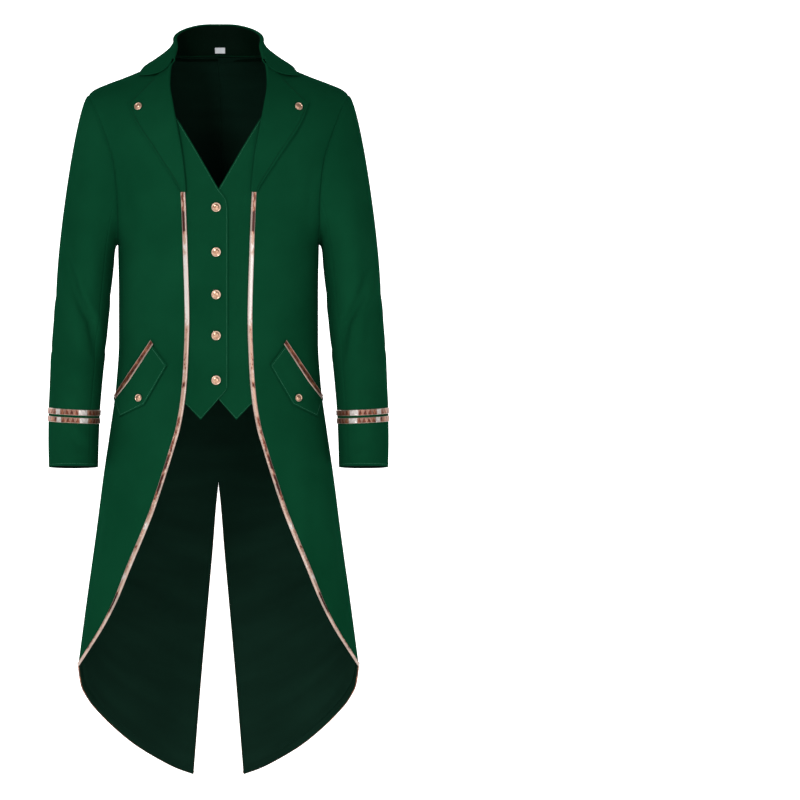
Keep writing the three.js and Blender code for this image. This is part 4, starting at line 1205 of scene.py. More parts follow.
# %% The two lapels
LIE_GAP = 0.8
FACING = 1.6
LAPEL_CLOTH = 1.2
LAPEL_ROLL = 1.6
LAPEL_EDGE_LIFT = 1.5
LAPEL_TOP_ROW = 2
LAPEL_EDGE = table("share x z", [
    (0, 150, -80), (0.14, 141.5, -104), (0.27, 131, -124), (0.41, 118, -143),
    (0.54, 106, -161), (0.69, 92.7, -182), (0.83, 79.3, -202), (1, 63.5, -228),
])


def lapel_point(down, across, lift=0.0):
    """A place on the lapel: down from its tip, and across from the roll line to its edge."""
    roll = front_surface(LAPEL_TOP_ROW + (BREAK_ROW - LAPEL_TOP_ROW) * down, 0.0)
    x = lerp(roll[..., 0], read(LAPEL_EDGE, "x", down), across)
    z = lerp(roll[..., 2], read(LAPEL_EDGE, "z", down), across)
    rise = LAPEL_ROLL * (1 - across) ** 2 + LAPEL_EDGE_LIFT * smoothstep(across, 0.9, 1)
    return on_form(FRONT, x, z, LIE_GAP + FACING + rise + lift)


def lapel_turn(down, turns):
    """The arc round the roll line, from the top of the roll to behind the front."""
    top = lapel_point(down, 0.0)
    out = form_normal(FRONT, *np.moveaxis(top, -1, 0))
    along = np.gradient(top, axis=0)
    aside = unit(np.cross(out, along))
    aside *= np.where(aside[..., :1] > 0, -1, 1)
    radius = (LIE_GAP + FACING + LAPEL_ROLL + CLOTH + 0.5) / 2
    arc = [top - out * radius * (1 - math.cos(t)) + aside * radius * math.sin(t) for t in turns]
    return np.stack(arc, 1)


lapel_downs = np.linspace(0, 1, 76)
lapel_flat = lapel_point(lapel_downs[:, None], np.linspace(0, 1, 34)[None])
lapel_grid = np.concatenate([lapel_turn(lapel_downs, np.linspace(np.pi, 0.2, 9)), lapel_flat], 1)
LAPEL_CREASES = {
    "left": [("front", [(112, -70), (100, -118), (88, -160)], 0.8, 11)],
    "right": [("front", [(-118, -76), (-102, -122), (-84, -170)], 0.9, 12)],
}
for hand in ("left", "right"):
    grid = lapel_grid if hand == "left" else mirrored(lapel_grid)
    ahead = np.zeros_like(grid) + np.array([0.0, -1.0, 0.2])
    grid = with_creases(grid, ahead, LAPEL_CREASES[hand])
    piece = cloth_piece(f"lapel_{hand}_cloth", [grid], LAPEL_CLOTH, [ahead], [SUITING])
    stand_for(piece, "cloth", f"lapel_{hand}")

# %% [markdown]
# ## Mock waistcoat
# The waistcoat is two short fronts sewn in behind the coat's own. The right one laps over the left one and
# carries the buttons. Both are single sheets with the V of the neck and a point at the lower edge.

# %% Lines of the waistcoat fronts
LAP_X = -16
FOLD_IN_X = 92
WAISTCOAT_TOP_Z = -88
WAISTCOAT_LAST_Z = -530
WAISTCOAT_EDGE = table("z x", [
    (WAISTCOAT_TOP_Z, 81), (-99, 74), (-130, 55), (-160, 37), (-190, 19.5), (-224, -0.5), (-244, -14),
    (-262, LAP_X), (-556, LAP_X),
])
WAISTCOAT_HEM = np.array([(LAP_X, -556), (8.5, -584.5), (30, -609), (54, -584), (FOLD_IN_X, -566)])
WAISTCOAT_LAP = FACING + 0.5
WAISTCOAT_CLOTH = 1.2


def waistcoat_place(height, across):
    """x and z on a waistcoat front. Below its last level row the height goes on to the pointed hem."""
    hem_z = np.interp(lerp(LAP_X, FOLD_IN_X, across), WAISTCOAT_HEM[:, 0], WAISTCOAT_HEM[:, 1])
    below = np.clip(height, 0, 1)
    level = np.minimum(height, 0)
    z = np.where(height > 0, lerp(WAISTCOAT_LAST_Z, hem_z, below), WAISTCOAT_LAST_Z - level)
    edge = read(WAISTCOAT_EDGE, "x", np.where(height > 0, WAISTCOAT_LAST_Z, z))
    return lerp(edge, FOLD_IN_X, across), z


def waistcoat_point(height, across, sink, lift=0.0):
    x, z = waistcoat_place(height, across)
    depth = 2 + LIE_GAP + sink * (1 - smoothstep(x, 30, 56)) + 2.4 * smoothstep(z, -200, -110)
    return on_form(FRONT, x, z, lift - depth)


waistcoat_above = np.linspace(WAISTCOAT_LAST_Z - WAISTCOAT_TOP_Z, 0, 96)
waistcoat_heights = np.concatenate([waistcoat_above, np.linspace(0, 1, 16)[1:]])
waistcoat_across = np.unique(np.concatenate([
    np.linspace(0, 1, 40), (WAISTCOAT_HEM[:, 0] - LAP_X) / (FOLD_IN_X - LAP_X), [0.006, 0.014, 0.024],
]))
WAISTCOAT_CREASES = {
    "left": [
        ("front", [(30, -300), (36, -390), (28, -470)], 0.8, 11),
        ("front", [(58, -160), (44, -230)], 0.7, 9),
    ],
    "right": [
        ("front", [(-24, -262), (-38, -298), (-50, -318)], 0.9, 8),
        ("front", [(-20, -412), (-34, -440), (-48, -452)], 0.9, 8),
        ("front", [(-34, -490), (-30, -540), (-34, -584)], 0.7, 9),
    ],
}
for hand, sink in (("left", WAISTCOAT_LAP), ("right", 0.0)):
    grid = waistcoat_point(waistcoat_heights[:, None], waistcoat_across[None], sink)
    grid = grid if hand == "left" else mirrored(grid)
    ahead = np.zeros_like(grid) + np.array([0.0, -1.0, 0.0])
    grid = with_creases(grid, ahead, WAISTCOAT_CREASES[hand])
    piece = cloth_piece(f"waistcoat_{hand}_cloth", [grid], WAISTCOAT_CLOTH, [ahead], [SUITING, LINING])
    stand_for(piece, "cloth", f"waistcoat_{hand}")

# %% [markdown]
# ## Pocket flaps
# Each flap is a slanting four-sided piece that lies on the front. Its pressed edges stay flat while the
# middle keeps a little fullness, so the face is raised slightly away from its edges.

# %% The two pocket flaps
FLAP_TOP = np.array([(112.7, -481), (172, -573.5)])
FLAP_BOTTOM = np.array([(85.5, -518), (122.7, -584), (163.5, -604)])
FLAP_BEND = 0.63
FLAP_LIFT = LIE_GAP + FACING + 1.2
FLAP_FULLNESS = 1.3
# The flaps and the half belt are two layers of cloth pressed together
DOUBLE_CLOTH = 1.4


def flap_place(along, down):
    top = lerp(FLAP_TOP[0], FLAP_TOP[1], along[..., None])
    stops = [0, FLAP_BEND, 1]
    bottom = np.stack([np.interp(along, stops, FLAP_BOTTOM[:, k]) for k in range(2)], -1)
    return lerp(top, bottom, down[..., None])


def flap_point(along, down, lift=0.0):
    along, down = np.broadcast_arrays(np.asarray(along, float), np.asarray(down, float))
    place = flap_place(along, down)
    puff = (np.sin(np.pi * np.clip(along, 0, 1)) * np.sin(np.pi * np.clip(down, 0, 1))) ** 0.7
    return on_form(FRONT, place[..., 0], place[..., 1], FLAP_LIFT + FLAP_FULLNESS * puff + lift)


flap_alongs = np.unique(np.concatenate([np.linspace(0, 1, 46), [FLAP_BEND]]))
flap_grid = flap_point(flap_alongs[None], np.linspace(0, 1, 26)[:, None])
FLAP_CREASES = {
    "left": [("front", [(104, -520), (122, -548), (134, -578)], 0.5, 8)],
    "right": [("front", [(-110, -512), (-124, -546), (-142, -580)], 0.5, 9)],
}
for hand in ("left", "right"):
    grid = flap_grid if hand == "left" else mirrored(flap_grid)
    ahead = np.zeros_like(grid) + np.array([0.0, -1.0, 0.0])
    grid = with_creases(grid, ahead, FLAP_CREASES[hand])
    piece = cloth_piece(f"flap_{hand}_cloth", [grid], DOUBLE_CLOTH, [ahead], [SUITING])
    stand_for(piece, "cloth", f"flap_{hand}")

# %% [markdown]
# ## Half belt
# The half belt at the back waist is a plain turned strip with slightly cut corners, held by a button at
# each end. It takes the curve of the back, so it is made as a strip of the same form, lifted off it.

# %% The half belt
BELT_TOP_Z = -411
BELT_BOTTOM_Z = -455
BELT_HALF_WIDTH = 87.7
BELT_CORNER = 3
BELT_FULLNESS = 0.7


def belt_point(along, down, lift=0.0):
    """along runs from -1 to 1 across the back, down from 0 to 1."""
    along, down = np.broadcast_arrays(np.asarray(along, float), np.asarray(down, float))
    cut = BELT_CORNER * smoothstep(np.abs(along), 0.965, 1)
    z = lerp(BELT_TOP_Z - cut, BELT_BOTTOM_Z + cut, down)
    fullness = BELT_FULLNESS * (np.sin(np.pi * np.clip(down, 0, 1)) * (1 - along ** 8)) ** 0.5
    return on_form(BACK, along * BELT_HALF_WIDTH, z, LIE_GAP + FACING + fullness + lift)


belt_ends = [-0.992, -0.984, -0.97, 0.97, 0.984, 0.992]
belt_alongs = np.unique(np.concatenate([np.linspace(-1, 1, 91), belt_ends]))
belt_grid = belt_point(belt_alongs[None], np.linspace(0, 1, 22)[:, None])
behind = np.zeros_like(belt_grid) + np.array([0.0, 1.0, 0.0])
piece = cloth_piece("half_belt_cloth", [belt_grid], DOUBLE_CLOTH, [behind], [SUITING])
stand_for(piece, "cloth", "half_belt")

# %% [markdown]
# ## Foil edge trim
# A foil tape is folded over every front, vent and tail edge and sewn down. Foil doesn't stretch round a
# curve, so it gathers into small folds there, and each fold flashes bright or goes dark. The tape is one
# cross-section carried along the edge, with folds that are deeper where the edge curves.

# %% Tape folded over an edge
TAPE_THICKNESS = 0.3
RUCHE_PITCH = 6.5
RUCHE_SLANT = 0.9
TAPE_STEP = 1.3
TAPE_COLUMNS = 25


def resampled(points, spacing):
    """The same line with evenly spaced points, and the distance along it."""
    run = np.concatenate([[0], np.cumsum(np.linalg.norm(np.diff(points, axis=0), axis=1))])
    at = np.linspace(0, run[-1], max(round(run[-1] / spacing), 2))
    return np.stack([np.interp(at, run, points[:, k]) for k in range(3)], 1), at


def ruche(run, across):
    """Height from 0 to 1 of the small folds in gathered foil."""
    wander = 1.7 * np.sin(run / 17.0) + 1.1 * np.sin(run / 6.3 + 1.9)
    turn = (run + wander + RUCHE_SLANT * across) / RUCHE_PITCH
    uneven = 0.72 + 0.28 * np.sin(run / 9.1 + 0.8)
    return uneven * (0.5 + 0.5 * np.sin(2 * np.pi * turn)) ** 1.4


# Where a tape starts behind its edge, as places across it and lifts off the cloth's outer face
TURNED_IN = [(3.2, -2.0), (1.2, -2.3), (-0.3, -2.1), (-1.0, -0.8), (-0.6, 0.5)]
CUT_FLUSH = [(0.9, -1.2), (0.4, -1.35), (-0.1, -1.25), (-0.45, -0.6), (-0.4, 0.4)]


def tape_grid(side, edge, width, depth, start):
    """A tape whose columns run from where it starts, round the edge and out over the cloth's face."""
    line, run = resampled(edge, TAPE_STEP)
    normal = form_normal(side, *line.T)
    along = unit(np.gradient(line, axis=0))
    inward = unit(np.cross(along, normal)) * (1 if side == BACK else -1)
    profile = np.array(start + [
        (0.8, 1.05), (width * 0.35, 1.25), (width * 0.65, 1.25), (width - 0.9, 1.15), (width, 0.75),
        (width + 0.1, 0.35),
    ])
    columns = through_points(profile, np.linspace(0, len(profile) - 1, TAPE_COLUMNS))
    across, lift = columns[:, 0], columns[:, 1]
    deep, narrow = (values[:, None] for values in depth(line[:, 2]))
    on_face = smoothstep(lift, 0.6, 1.1) * np.sin(np.pi * np.clip(across / width, 0, 1)) ** 0.5
    folds = ruche(run[:, None], across[None]) * on_face * deep
    waver = 0.35 * deep * np.sin(run / 5.1 + 2.2 * np.sin(run / 13.0))[:, None] * on_face
    across = np.where(across > 0.8, 0.8 + (across - 0.8) * narrow, across) + waver
    lifts = (lift[None] + folds)[..., None]
    grid = line[:, None] + inward[:, None] * across[..., None] + normal[:, None] * lifts
    inside = line[:, None] + inward[:, None] * 1.5 - normal[:, None] * 0.5
    return grid, grid - inside


print("folds of the gathered foil every", RUCHE_PITCH, "mm")


# %% The trim of each edge
def front_depth(z):
    """How deep the folds are at each height, and how much of the tape's width shows."""
    return lerp(0.12, 0.8, smoothstep(-z, 560, 660)), lerp(1.0, 0.5, smoothstep(-z, 850, 990))


def hem_depth(z):
    return 0.45 + 0 * z, 1 - 0.25 * smoothstep(z, -1120, -1040)


def vent_depth(z):
    return lerp(1.1, 0.7, smoothstep(-z, 750, 1100)), lerp(1.0, 0.66, smoothstep(-z, 760, 1000))


front_line = np.concatenate([
    front_surface(np.linspace(BREAK_ROW, LAST_ROW, 320), 0.0),
    front_surface(float(LAST_ROW), np.linspace(0, 0.996, 120)[1:]),
])
hem_line = back_surface(float(LAST_ROW), np.linspace(0, 0.996, 200))
VENT_TOP_ROW = ARMPIT_ROW + int(np.argmin(np.abs(LOWER_ROWS - VENT_TOP_Z)))
vent_line = back_surface(np.linspace(VENT_TOP_ROW, LAST_ROW, 260), 0.0)
above_vent = on_form(BACK, [0.2, 0.3], [VENT_TOP_Z + 15.0, VENT_TOP_Z + 7.0])
vent_line = np.concatenate([above_vent, vent_line[3:-6]])
EDGES = {
    "front_trim": (FRONT, front_line, 6.8, front_depth, EDGE_FOIL, TURNED_IN),
    "hem_trim": (BACK, hem_line, 6.0, hem_depth, VENT_FOIL, CUT_FLUSH),
    "vent_trim": (BACK, vent_line, 7.5, vent_depth, VENT_FOIL, CUT_FLUSH),
}
for name, (side, line, width, depth, foil, start) in EDGES.items():
    tape, away = tape_grid(side, line, width, depth, start)
    for hand in ("left", "right"):
        grid, hint = tape * sides(hand), away * sides(hand)
        piece = cloth_piece(f"{name}_{hand}_foil", [grid], TAPE_THICKNESS, [hint], [foil])
        stand_for(piece, "metallic_trim", f"{name}_{hand}")

# %% [markdown]
# ## Flap tape, sleeve bands and the vent tack
# These tapes lie flat on the cloth. The flap's has two corded edges with slanting ribs between them, and
# the sleeve bands are pressed into small facets. Their highlights come in triangles, and the band foil also
# has triangles of painted highlight in its colour.

# %% Flat tapes
def flat_tape(name, node, point, alongs, widths, pitch, cord, facets, foil):
    """A tape on a piece's own points. Widths are its length and its width, and across runs from 0 to 1."""
    across = np.linspace(0, 1, 15)
    run = widths[0] * alongs
    edge = np.minimum(across, 1 - across) * widths[1]
    lift = 1.0 * smoothstep(edge, 0, 0.7) + cord * np.exp(-((edge - 0.9) / 0.6) ** 2)
    rib = 0.5 + 0.5 * np.sin(2 * np.pi * (run[:, None] / pitch + across[None] * 0.9))
    triangle = np.abs((run[:, None] / pitch) % 1 - 0.5) * 2
    facet = np.abs(triangle - across[None])
    inner = smoothstep(edge, 0.9, 1.8)[None]
    height = lift[None] + inner * (0.35 * rib * (1 - facets) + 0.9 * facet * facets)
    grid = point(alongs[:, None], across[None], height)
    hint = grid - point(alongs[:, None], across[None], height - 5)
    piece = cloth_piece(name, [grid], TAPE_THICKNESS, [hint], [foil])
    stand_for(piece, "metallic_trim", node)


print("flat tapes are", TAPE_THICKNESS, "mm thick")

# %% Tapes on the flaps, the sleeves and the vent
# How deep the tape reaches down the flap, and how far it stands over the flap's upper edge, as shares
FLAP_TAPE_REACH = 0.18
FLAP_TAPE_OVER = 0.05
# Upper and lower edge of each band, how far it dips to the back of the sleeve and from side to side
BAND_ROWS = [(-590.5, -600.5), (-604, -613.5)]
BAND_TILT = 4.2
BAND_SLANT = 2.0


def flap_tape(hand):
    def point(along, across, lift):
        return flap_point(along, FLAP_TAPE_REACH * across - FLAP_TAPE_OVER, lift) * sides(hand)

    return point


def band(hand, upper_z, lower_z):
    def point(along, across, lift):
        angle = along * 2 * np.pi
        z = lerp(upper_z, lower_z, across) + BAND_SLANT * np.cos(angle) - BAND_TILT * np.sin(angle)
        return on_sleeve(angle, z, lift) * sides(hand)

    return point


def tack(along, across, lift):
    half_width = lerp(14.7, 11.3, across)
    return on_form(BACK, half_width * (1 - 2 * along), lerp(-682.5, -703.0, across), 2.4 + lift)


for hand in ("left", "right"):
    tape_alongs = np.linspace(-0.035, 0.965, 140)
    tape = flap_tape(hand)
    name = f"flap_tape_{hand}"
    flat_tape(name, f"flap_trim_{hand}", tape, tape_alongs, (110, 8.4), 2.4, 0.5, 0.0, FLAP_FOIL)
    for number, band_edges in enumerate(BAND_ROWS, 1):
        node = f"sleeve_band_{number}_{hand}"
        turns = np.linspace(0.5, 1.5, 241) + 0.008 * (number - 1)
        tape = band(hand, *band_edges)
        flat_tape(f"{node}_foil", node, tape, turns, (250, 9.5), 7.0, 0.35, 0.7, BAND_FOIL)

flat_tape("vent_tack_foil", "vent_tack", tack, np.linspace(0, 1, 44), (26, 20), 4.2, 0.3, 0.8, VENT_FOIL)

# %% [markdown]
# ## Buttons
# The buttons are stamped from thin plated brass: a rolled rim, a shallow ring inside it and a low dome.
# Each is its outline turned round, which is how a lathe or a press would make it too.

# %% Turned buttons
BUTTON_OUTLINE = np.array([
    (0.0, 0.0), (0.55, 0.0), (0.9, 0.04), (0.985, 0.16), (1.0, 0.34), (0.975, 0.5), (0.92, 0.6), (0.85, 0.6),
    (0.79, 0.5), (0.735, 0.45), (0.66, 0.52), (0.5, 0.68), (0.3, 0.79), (0.12, 0.84), (0.0, 0.85),
])
BUTTON_RADII = {"waistcoat": 7.9, "lapel": 6.7, "flap": 6.4, "belt": 8.1, "cuff": 6.9}
BUTTON_HEIGHT = 4.2
BUTTON_SIDES = 40
SHANK = 0.9


def add_button(kind, tail, place, outward_way):
    """Turns one button on its place. The tail of its name says which one of its kind it is."""
    name = f"{kind}_button_{tail}"
    radius = BUTTON_RADII[kind]
    finish = COPPER_METAL if kind in ("belt", "cuff") else PALE_METAL
    aside = unit(np.cross(outward_way, [0.0, 0.3, 1.0]))
    upward = np.cross(aside, outward_way)
    turns = np.linspace(0, 2 * np.pi, BUTTON_SIDES + 1)[:-1]
    ring = np.cos(turns)[:, None] * aside + np.sin(turns)[:, None] * upward
    profile = BUTTON_OUTLINE[1:-1]
    points = [place + outward_way * (SHANK + h * BUTTON_HEIGHT) + ring * r * radius for r, h in profile]
    ends = [place + outward_way * (SHANK + h * BUTTON_HEIGHT) for h in BUTTON_OUTLINE[[0, -1], 1]]
    count, rings = BUTTON_SIDES, len(points)
    faces = []
    for i in range(count):
        j = (i + 1) % count
        faces.append((rings * count, j, i))
        faces.append((rings * count + 1, (rings - 1) * count + i, (rings - 1) * count + j))
        for low in range(0, (rings - 1) * count, count):
            high = low + count
            faces.append((low + i, low + j, high + j, high + i))
    mesh = bpy.data.meshes.new(name)
    mesh.from_pydata((np.concatenate([*points, ends]) / 1000).tolist(), [], faces)
    corner_points = np.zeros(len(mesh.loops), int)
    mesh.loops.foreach_get("vertex_index", corner_points)
    shares = np.concatenate([np.repeat(profile[:, 0], count), [0, 0]])[corner_points]
    mesh.uv_layers.new(name="share").data.foreach_set("uv", np.stack([shares, 0 * shares], 1).reshape(-1))
    piece = place_mesh(name, mesh, [finish])
    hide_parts(f"button_{kind}_{tail}")


def add_form_button(kind, tail, side, x, z, lift):
    place = on_form(side, float(x), float(z), lift)
    add_button(kind, tail, place, form_normal(side, x, form_y(side, x, z), z))


print("button radii in mm:", BUTTON_RADII)

# %% Where the buttons are sewn
WAISTCOAT_BUTTONS_X = -4
WAISTCOAT_BUTTONS_Z = [-254, -329, -400, -468.5, -543]
CUFF_BUTTONS_Z = [-624.6, -646.0, -667.5]
CUFF_BUTTON_ANGLE = math.radians(-109)
# Kind, side of the coat, x, z and lift above a layer that lies on the cloth
PAIRED_BUTTONS = [
    ("lapel", FRONT, 132.6, -87.5, 0.0),
    ("flap", FRONT, 130.5, -573, 1.6),
    ("belt", BACK, 77, -431.5, 0.3),
]
for number, z in enumerate(WAISTCOAT_BUTTONS_Z, 1):
    add_form_button("waistcoat", number, FRONT, WAISTCOAT_BUTTONS_X, z, 0.3 - 2 - LIE_GAP)
for hand, turn in (("left", 1), ("right", -1)):
    for kind, side, x, z, lift in PAIRED_BUTTONS:
        add_form_button(kind, hand, side, turn * x, z, LIE_GAP + FACING + lift)
    for number, z in enumerate(CUFF_BUTTONS_Z, 1):
        place = on_sleeve(CUFF_BUTTON_ANGLE, z) * sides(hand)
        way = sleeve_normal(CUFF_BUTTON_ANGLE, z) * sides(hand)
        add_button("cuff", f"{hand}_{number}", place, way)

# %% [markdown]
# ## Topstitching
# Rows of stitches hold the pressed edges flat. Drawn as a bump they would vanish in a close view, so each
# stitch is a short spindle of thread, laid along a line just inside the edge and sunk halfway in the cloth.

# %% Stitches along a line
STITCH_PITCH = 2.8
STITCH_LENGTH = 2.2
STITCH_SIDES = 6
STITCH_LIFT = 0.05
# Share of the way along a stitch, and how thick the thread is there
STITCH_RINGS = np.array([(0.0, 0.25), (0.2, 0.85), (0.5, 1.0), (0.8, 0.85), (1.0, 0.25)])
STITCH_POINTS = STITCH_SIDES * len(STITCH_RINGS)


def resampled_like(line, values, at):
    """Values given at a line's own points, read at distances along it."""
    run = np.concatenate([[0], np.cumsum(np.linalg.norm(np.diff(line, axis=0), axis=1))])
    return np.stack([np.interp(at, run, values[:, k]) for k in range(3)], 1)


def stitch_row(line, normals, radius):
    """Points and faces of one spindle for each stitch along a line."""
    dense, run = resampled(line, 0.5)
    ways = resampled_like(line, normals, run)
    starts = np.arange(STITCH_PITCH / 2, run[-1] - STITCH_LENGTH, STITCH_PITCH)
    points = []
    for share, thick in STITCH_RINGS:
        at = starts + share * STITCH_LENGTH
        middle = np.stack([np.interp(at, run, dense[:, k]) for k in range(3)], 1)
        out = unit(np.stack([np.interp(at, run, ways[:, k]) for k in range(3)], 1))
        after = np.stack([np.interp(at + 0.5, run, dense[:, k]) for k in range(3)], 1)
        before = np.stack([np.interp(at - 0.5, run, dense[:, k]) for k in range(3)], 1)
        ahead = unit(after - before)
        aside = unit(np.cross(out, ahead))
        for turn in np.arange(STITCH_SIDES) * np.pi / 3:
            way = out * (math.sin(turn) + 0.35) + aside * math.cos(turn)
            points.append(middle + radius * thick * way)
    points = np.stack(points, 1).reshape(-1, 3)
    faces = []
    for low in range(0, STITCH_POINTS - STITCH_SIDES, STITCH_SIDES):
        high = low + STITCH_SIDES
        for i in range(STITCH_SIDES):
            j = (i + 1) % STITCH_SIDES
            faces.append((low + i, low + j, high + j, high + i))
    firsts = np.arange(len(starts)) * STITCH_POINTS
    return points, (np.array(faces)[None] + firsts[:, None, None]).reshape(-1, 4)


print("points of one stitch:", STITCH_POINTS)


# %% Rows of stitches as one piece
def add_stitches(name, rows, finish, radius=0.28):
    points, faces, start = [], [], 0
    for line, normals in rows:
        own_points, own_faces = stitch_row(line, normals, radius)
        points.append(own_points)
        faces.append(own_faces + start)
        start += len(own_points)
    mesh = bpy.data.meshes.new(name)
    mesh.from_pydata((np.concatenate(points) / 1000).tolist(), [], np.concatenate(faces).tolist())
    piece = place_mesh(name, mesh, [finish])
    print(name, "stitches", start // STITCH_POINTS)


def lifted(point, *places):
    """A line on a piece and its directions, from the piece's own point function."""
    line = point(*places, STITCH_LIFT)
    return line, unit(point(*places, 1.0) - point(*places, 0.0))


def both_hands(rows):
    return rows + [(mirrored(line), mirrored(normals)) for line, normals in rows]


print("stitches are", STITCH_LENGTH, "mm long")

# %% Stitches on the flaps, lapels, waistcoat and belt
shares = np.linspace(0, 1, 60)
flap_rows = [
    lifted(flap_point, 0 * shares + 0.028, lerp(0.16, 0.955, shares)),
    lifted(flap_point, lerp(0.028, 0.975, shares), 0 * shares + 0.955),
    lifted(flap_point, 0 * shares + 0.975, lerp(0.955, 0.16, shares)),
]
add_stitches("flap_topstitch", both_hands(flap_rows), GREEN_THREAD)
# The lapel stitches are partly painted shade: dark and thick, they stand in for the shade line at the
# lapel's edge and top
lapel_rows = [lifted(lapel_point, lerp(0.02, 0.97, shares), 1 - 2.6 / lerp(78, 9, shares))]
lapel_rows += [lifted(lapel_point, 0 * shares + 0.016, lerp(0.35, 0.965, shares))]
add_stitches("lapel_topstitch", both_hands(lapel_rows), DARK_THREAD_AND_PAINTED_SHADE, 0.4)


def left_waistcoat(height, across, lift):
    return waistcoat_point(height, across, WAISTCOAT_LAP, lift)


def right_waistcoat(height, across, lift):
    return mirrored(waistcoat_point(height, across, 0.0, lift))


v_heights = np.linspace(WAISTCOAT_LAST_Z + 98, 0, 160)
point_heights = np.linspace(0, 0.965, 20)
hem_across = np.linspace(0.024, 0.7, 60)
waistcoat_rows = []
for waistcoat in (left_waistcoat, right_waistcoat):
    inset_share = 2.4 / (FOLD_IN_X - waistcoat_place(v_heights, 0.0)[0])
    waistcoat_rows += [lifted(waistcoat, v_heights, inset_share), lifted(waistcoat, point_heights, 0.024)]
    waistcoat_rows += [lifted(waistcoat, 0.965, hem_across)]
add_stitches("waistcoat_topstitch", waistcoat_rows, GREEN_THREAD, 0.24)
belt_rows = [lifted(belt_point, lerp(-0.97, 0.97, shares), down) for down in (0.065, 0.935)]
belt_rows += [lifted(belt_point, along, lerp(0.065, 0.935, shares)) for along in (-0.97, 0.97)]
add_stitches("belt_topstitch", belt_rows, DARK_THREAD_AND_PAINTED_SHADE, 0.22)

# %% Stitches on the collar, the elbow seams and the cuffs
ELBOW_STITCH_TURN = 0.035
SLEEVE_MIDDLE = np.array([234.0, -3.0, 0.0])
CUFF_STITCH_Z = CUFF_Z + 3.5


def collar_line(stations, inset):
    """A line on the visible side of the collar's fall, a distance in from its edge."""
    rows = collar_half(stations)
    edge, above = rows[-1], rows[-6]
    way = unit(above - edge)
    line = edge + way * inset[..., None]
    out = unit(np.cross(np.gradient(line, axis=0), way))
    out *= np.where(out[..., 2:] < 0, -1, 1)
    return line + out * (COLLAR_THICKNESS + STITCH_LIFT), out


stitched_stations = np.linspace(0, 4.9, 90)
collar_row = collar_line(stitched_stations, 6.2 - 2.6 * smoothstep(stitched_stations, 3.0, 4.6))
add_stitches("collar_topstitch", both_hands([collar_row]), GREEN_THREAD)
elbow_angle = SEAM_ANGLES[1] + ELBOW_STITCH_TURN
cap_line = sleeve_cap(np.full(30, elbow_angle), np.linspace(0.03, 0.98, 30))
lower_line = on_sleeve(np.full(60, elbow_angle), np.linspace(CAP_FOOT_Z, CUFF_Z + 4, 60))
elbow_line = np.concatenate([cap_line, lower_line])
elbow_row = (elbow_line, unit((elbow_line - SLEEVE_MIDDLE) * np.array([1.0, 1.0, 0.0])))
add_stitches("elbow_topstitch", both_hands([elbow_row]), GREEN_THREAD, 0.3)
cuff_angles = np.linspace(0, 2 * np.pi, 240)
cuff_row = (on_sleeve(cuff_angles, CUFF_STITCH_Z), sleeve_normal(cuff_angles, CUFF_STITCH_Z))
add_stitches("cuff_topstitch", both_hands([cuff_row]), GREEN_THREAD, 0.24)

# %% [markdown]
# ## Lining and label
# The back is lined in a dark satin that shows in the neck and inside the tails. A pleat at its centre gives
# room across the shoulders: it is one fold of spare cloth, so the lining steps over itself along a line that
# runs down from the neck. The label is a short plain strip sewn into the neck.

# %% The lining of the back, with its centre pleat
LINING_DEPTH = 2.2
LINING_CLOTH = 0.6
PLEAT_HEIGHT = 2.0
PLEAT_WIDTH = 26
# Height and x of points on the pleat's edge
PLEAT_LINE = np.array([(20, -4), (-35, 2.5), (-73, 4), (-225, 6), (-420, 7)])


def drawn_in(grid, axis, first, last):
    """The same sheet with its first and last edges moved in by distances along the sheet."""
    grid = np.moveaxis(grid, axis, 0)
    steps = np.linalg.norm(np.diff(grid, axis=0), axis=-1)
    run = np.concatenate([0 * steps[:1], np.cumsum(steps, 0)])
    moved = np.empty_like(grid)
    for line in range(grid.shape[1]):
        whole = run[-1, line]
        at = first[line] + run[:, line] * (whole - first[line] - last[line]) / whole
        for k in range(3):
            moved[:, line, k] = np.interp(at, run[:, line], grid[:, line, k])
    return np.moveaxis(moved, 0, axis)


def lining_pleat(grid):
    """How far the pleat's upper layer stands in front of the rest."""
    line = np.interp(-grid[..., 2], -PLEAT_LINE[:, 0], PLEAT_LINE[:, 1])
    beside = grid[..., 0] - line
    fade = 1 - smoothstep(-grid[..., 2], 240, 420)
    slope = np.exp(-(np.maximum(beside, 0) / PLEAT_WIDTH) ** 2)
    return PLEAT_HEIGHT * fade * smoothstep(beside, -0.7, 0.7) * slope


print("pleat stands", PLEAT_HEIGHT, "mm in front of the lining")

# %% The two halves of the lining
LINING_SIDE_SHARE = 7 / 8
# How far its edges stay inside the back's, in millimetres
LINING_IN = {"top": 3.0, "hem": 14.0, "vent": 4.0, "middle": 0.05}
lining_last = float(lerp(NECK_SHARE, 1, LINING_SIDE_SHARE))
lining_rows = np.concatenate([TOP_ROWS, even_heights([(VENT_TOP_Z, 8), (SIDE_HEM_Z, 5)])])
close_columns = [
    0.002, 0.004, 0.006, 0.009, 0.012, 0.015, 0.018, 0.021, 0.024, 0.028, 0.032, 0.038, 0.045,
]
lining_shares = np.unique(np.concatenate([np.linspace(0, lining_last, 40), close_columns, [NECK_SHARE]]))
lining_base = back_surface(lining_rows[:, None], lining_shares[None])
vent_edge = np.where(lining_base[:, 0, 2] < VENT_TOP_Z, LINING_IN["vent"], LINING_IN["middle"])
lining_base = drawn_in(lining_base, 1, vent_edge, 0 * vent_edge)
every_column = np.ones_like(lining_shares)
lining_base = drawn_in(lining_base, 0, LINING_IN["top"] * every_column, LINING_IN["hem"] * every_column)
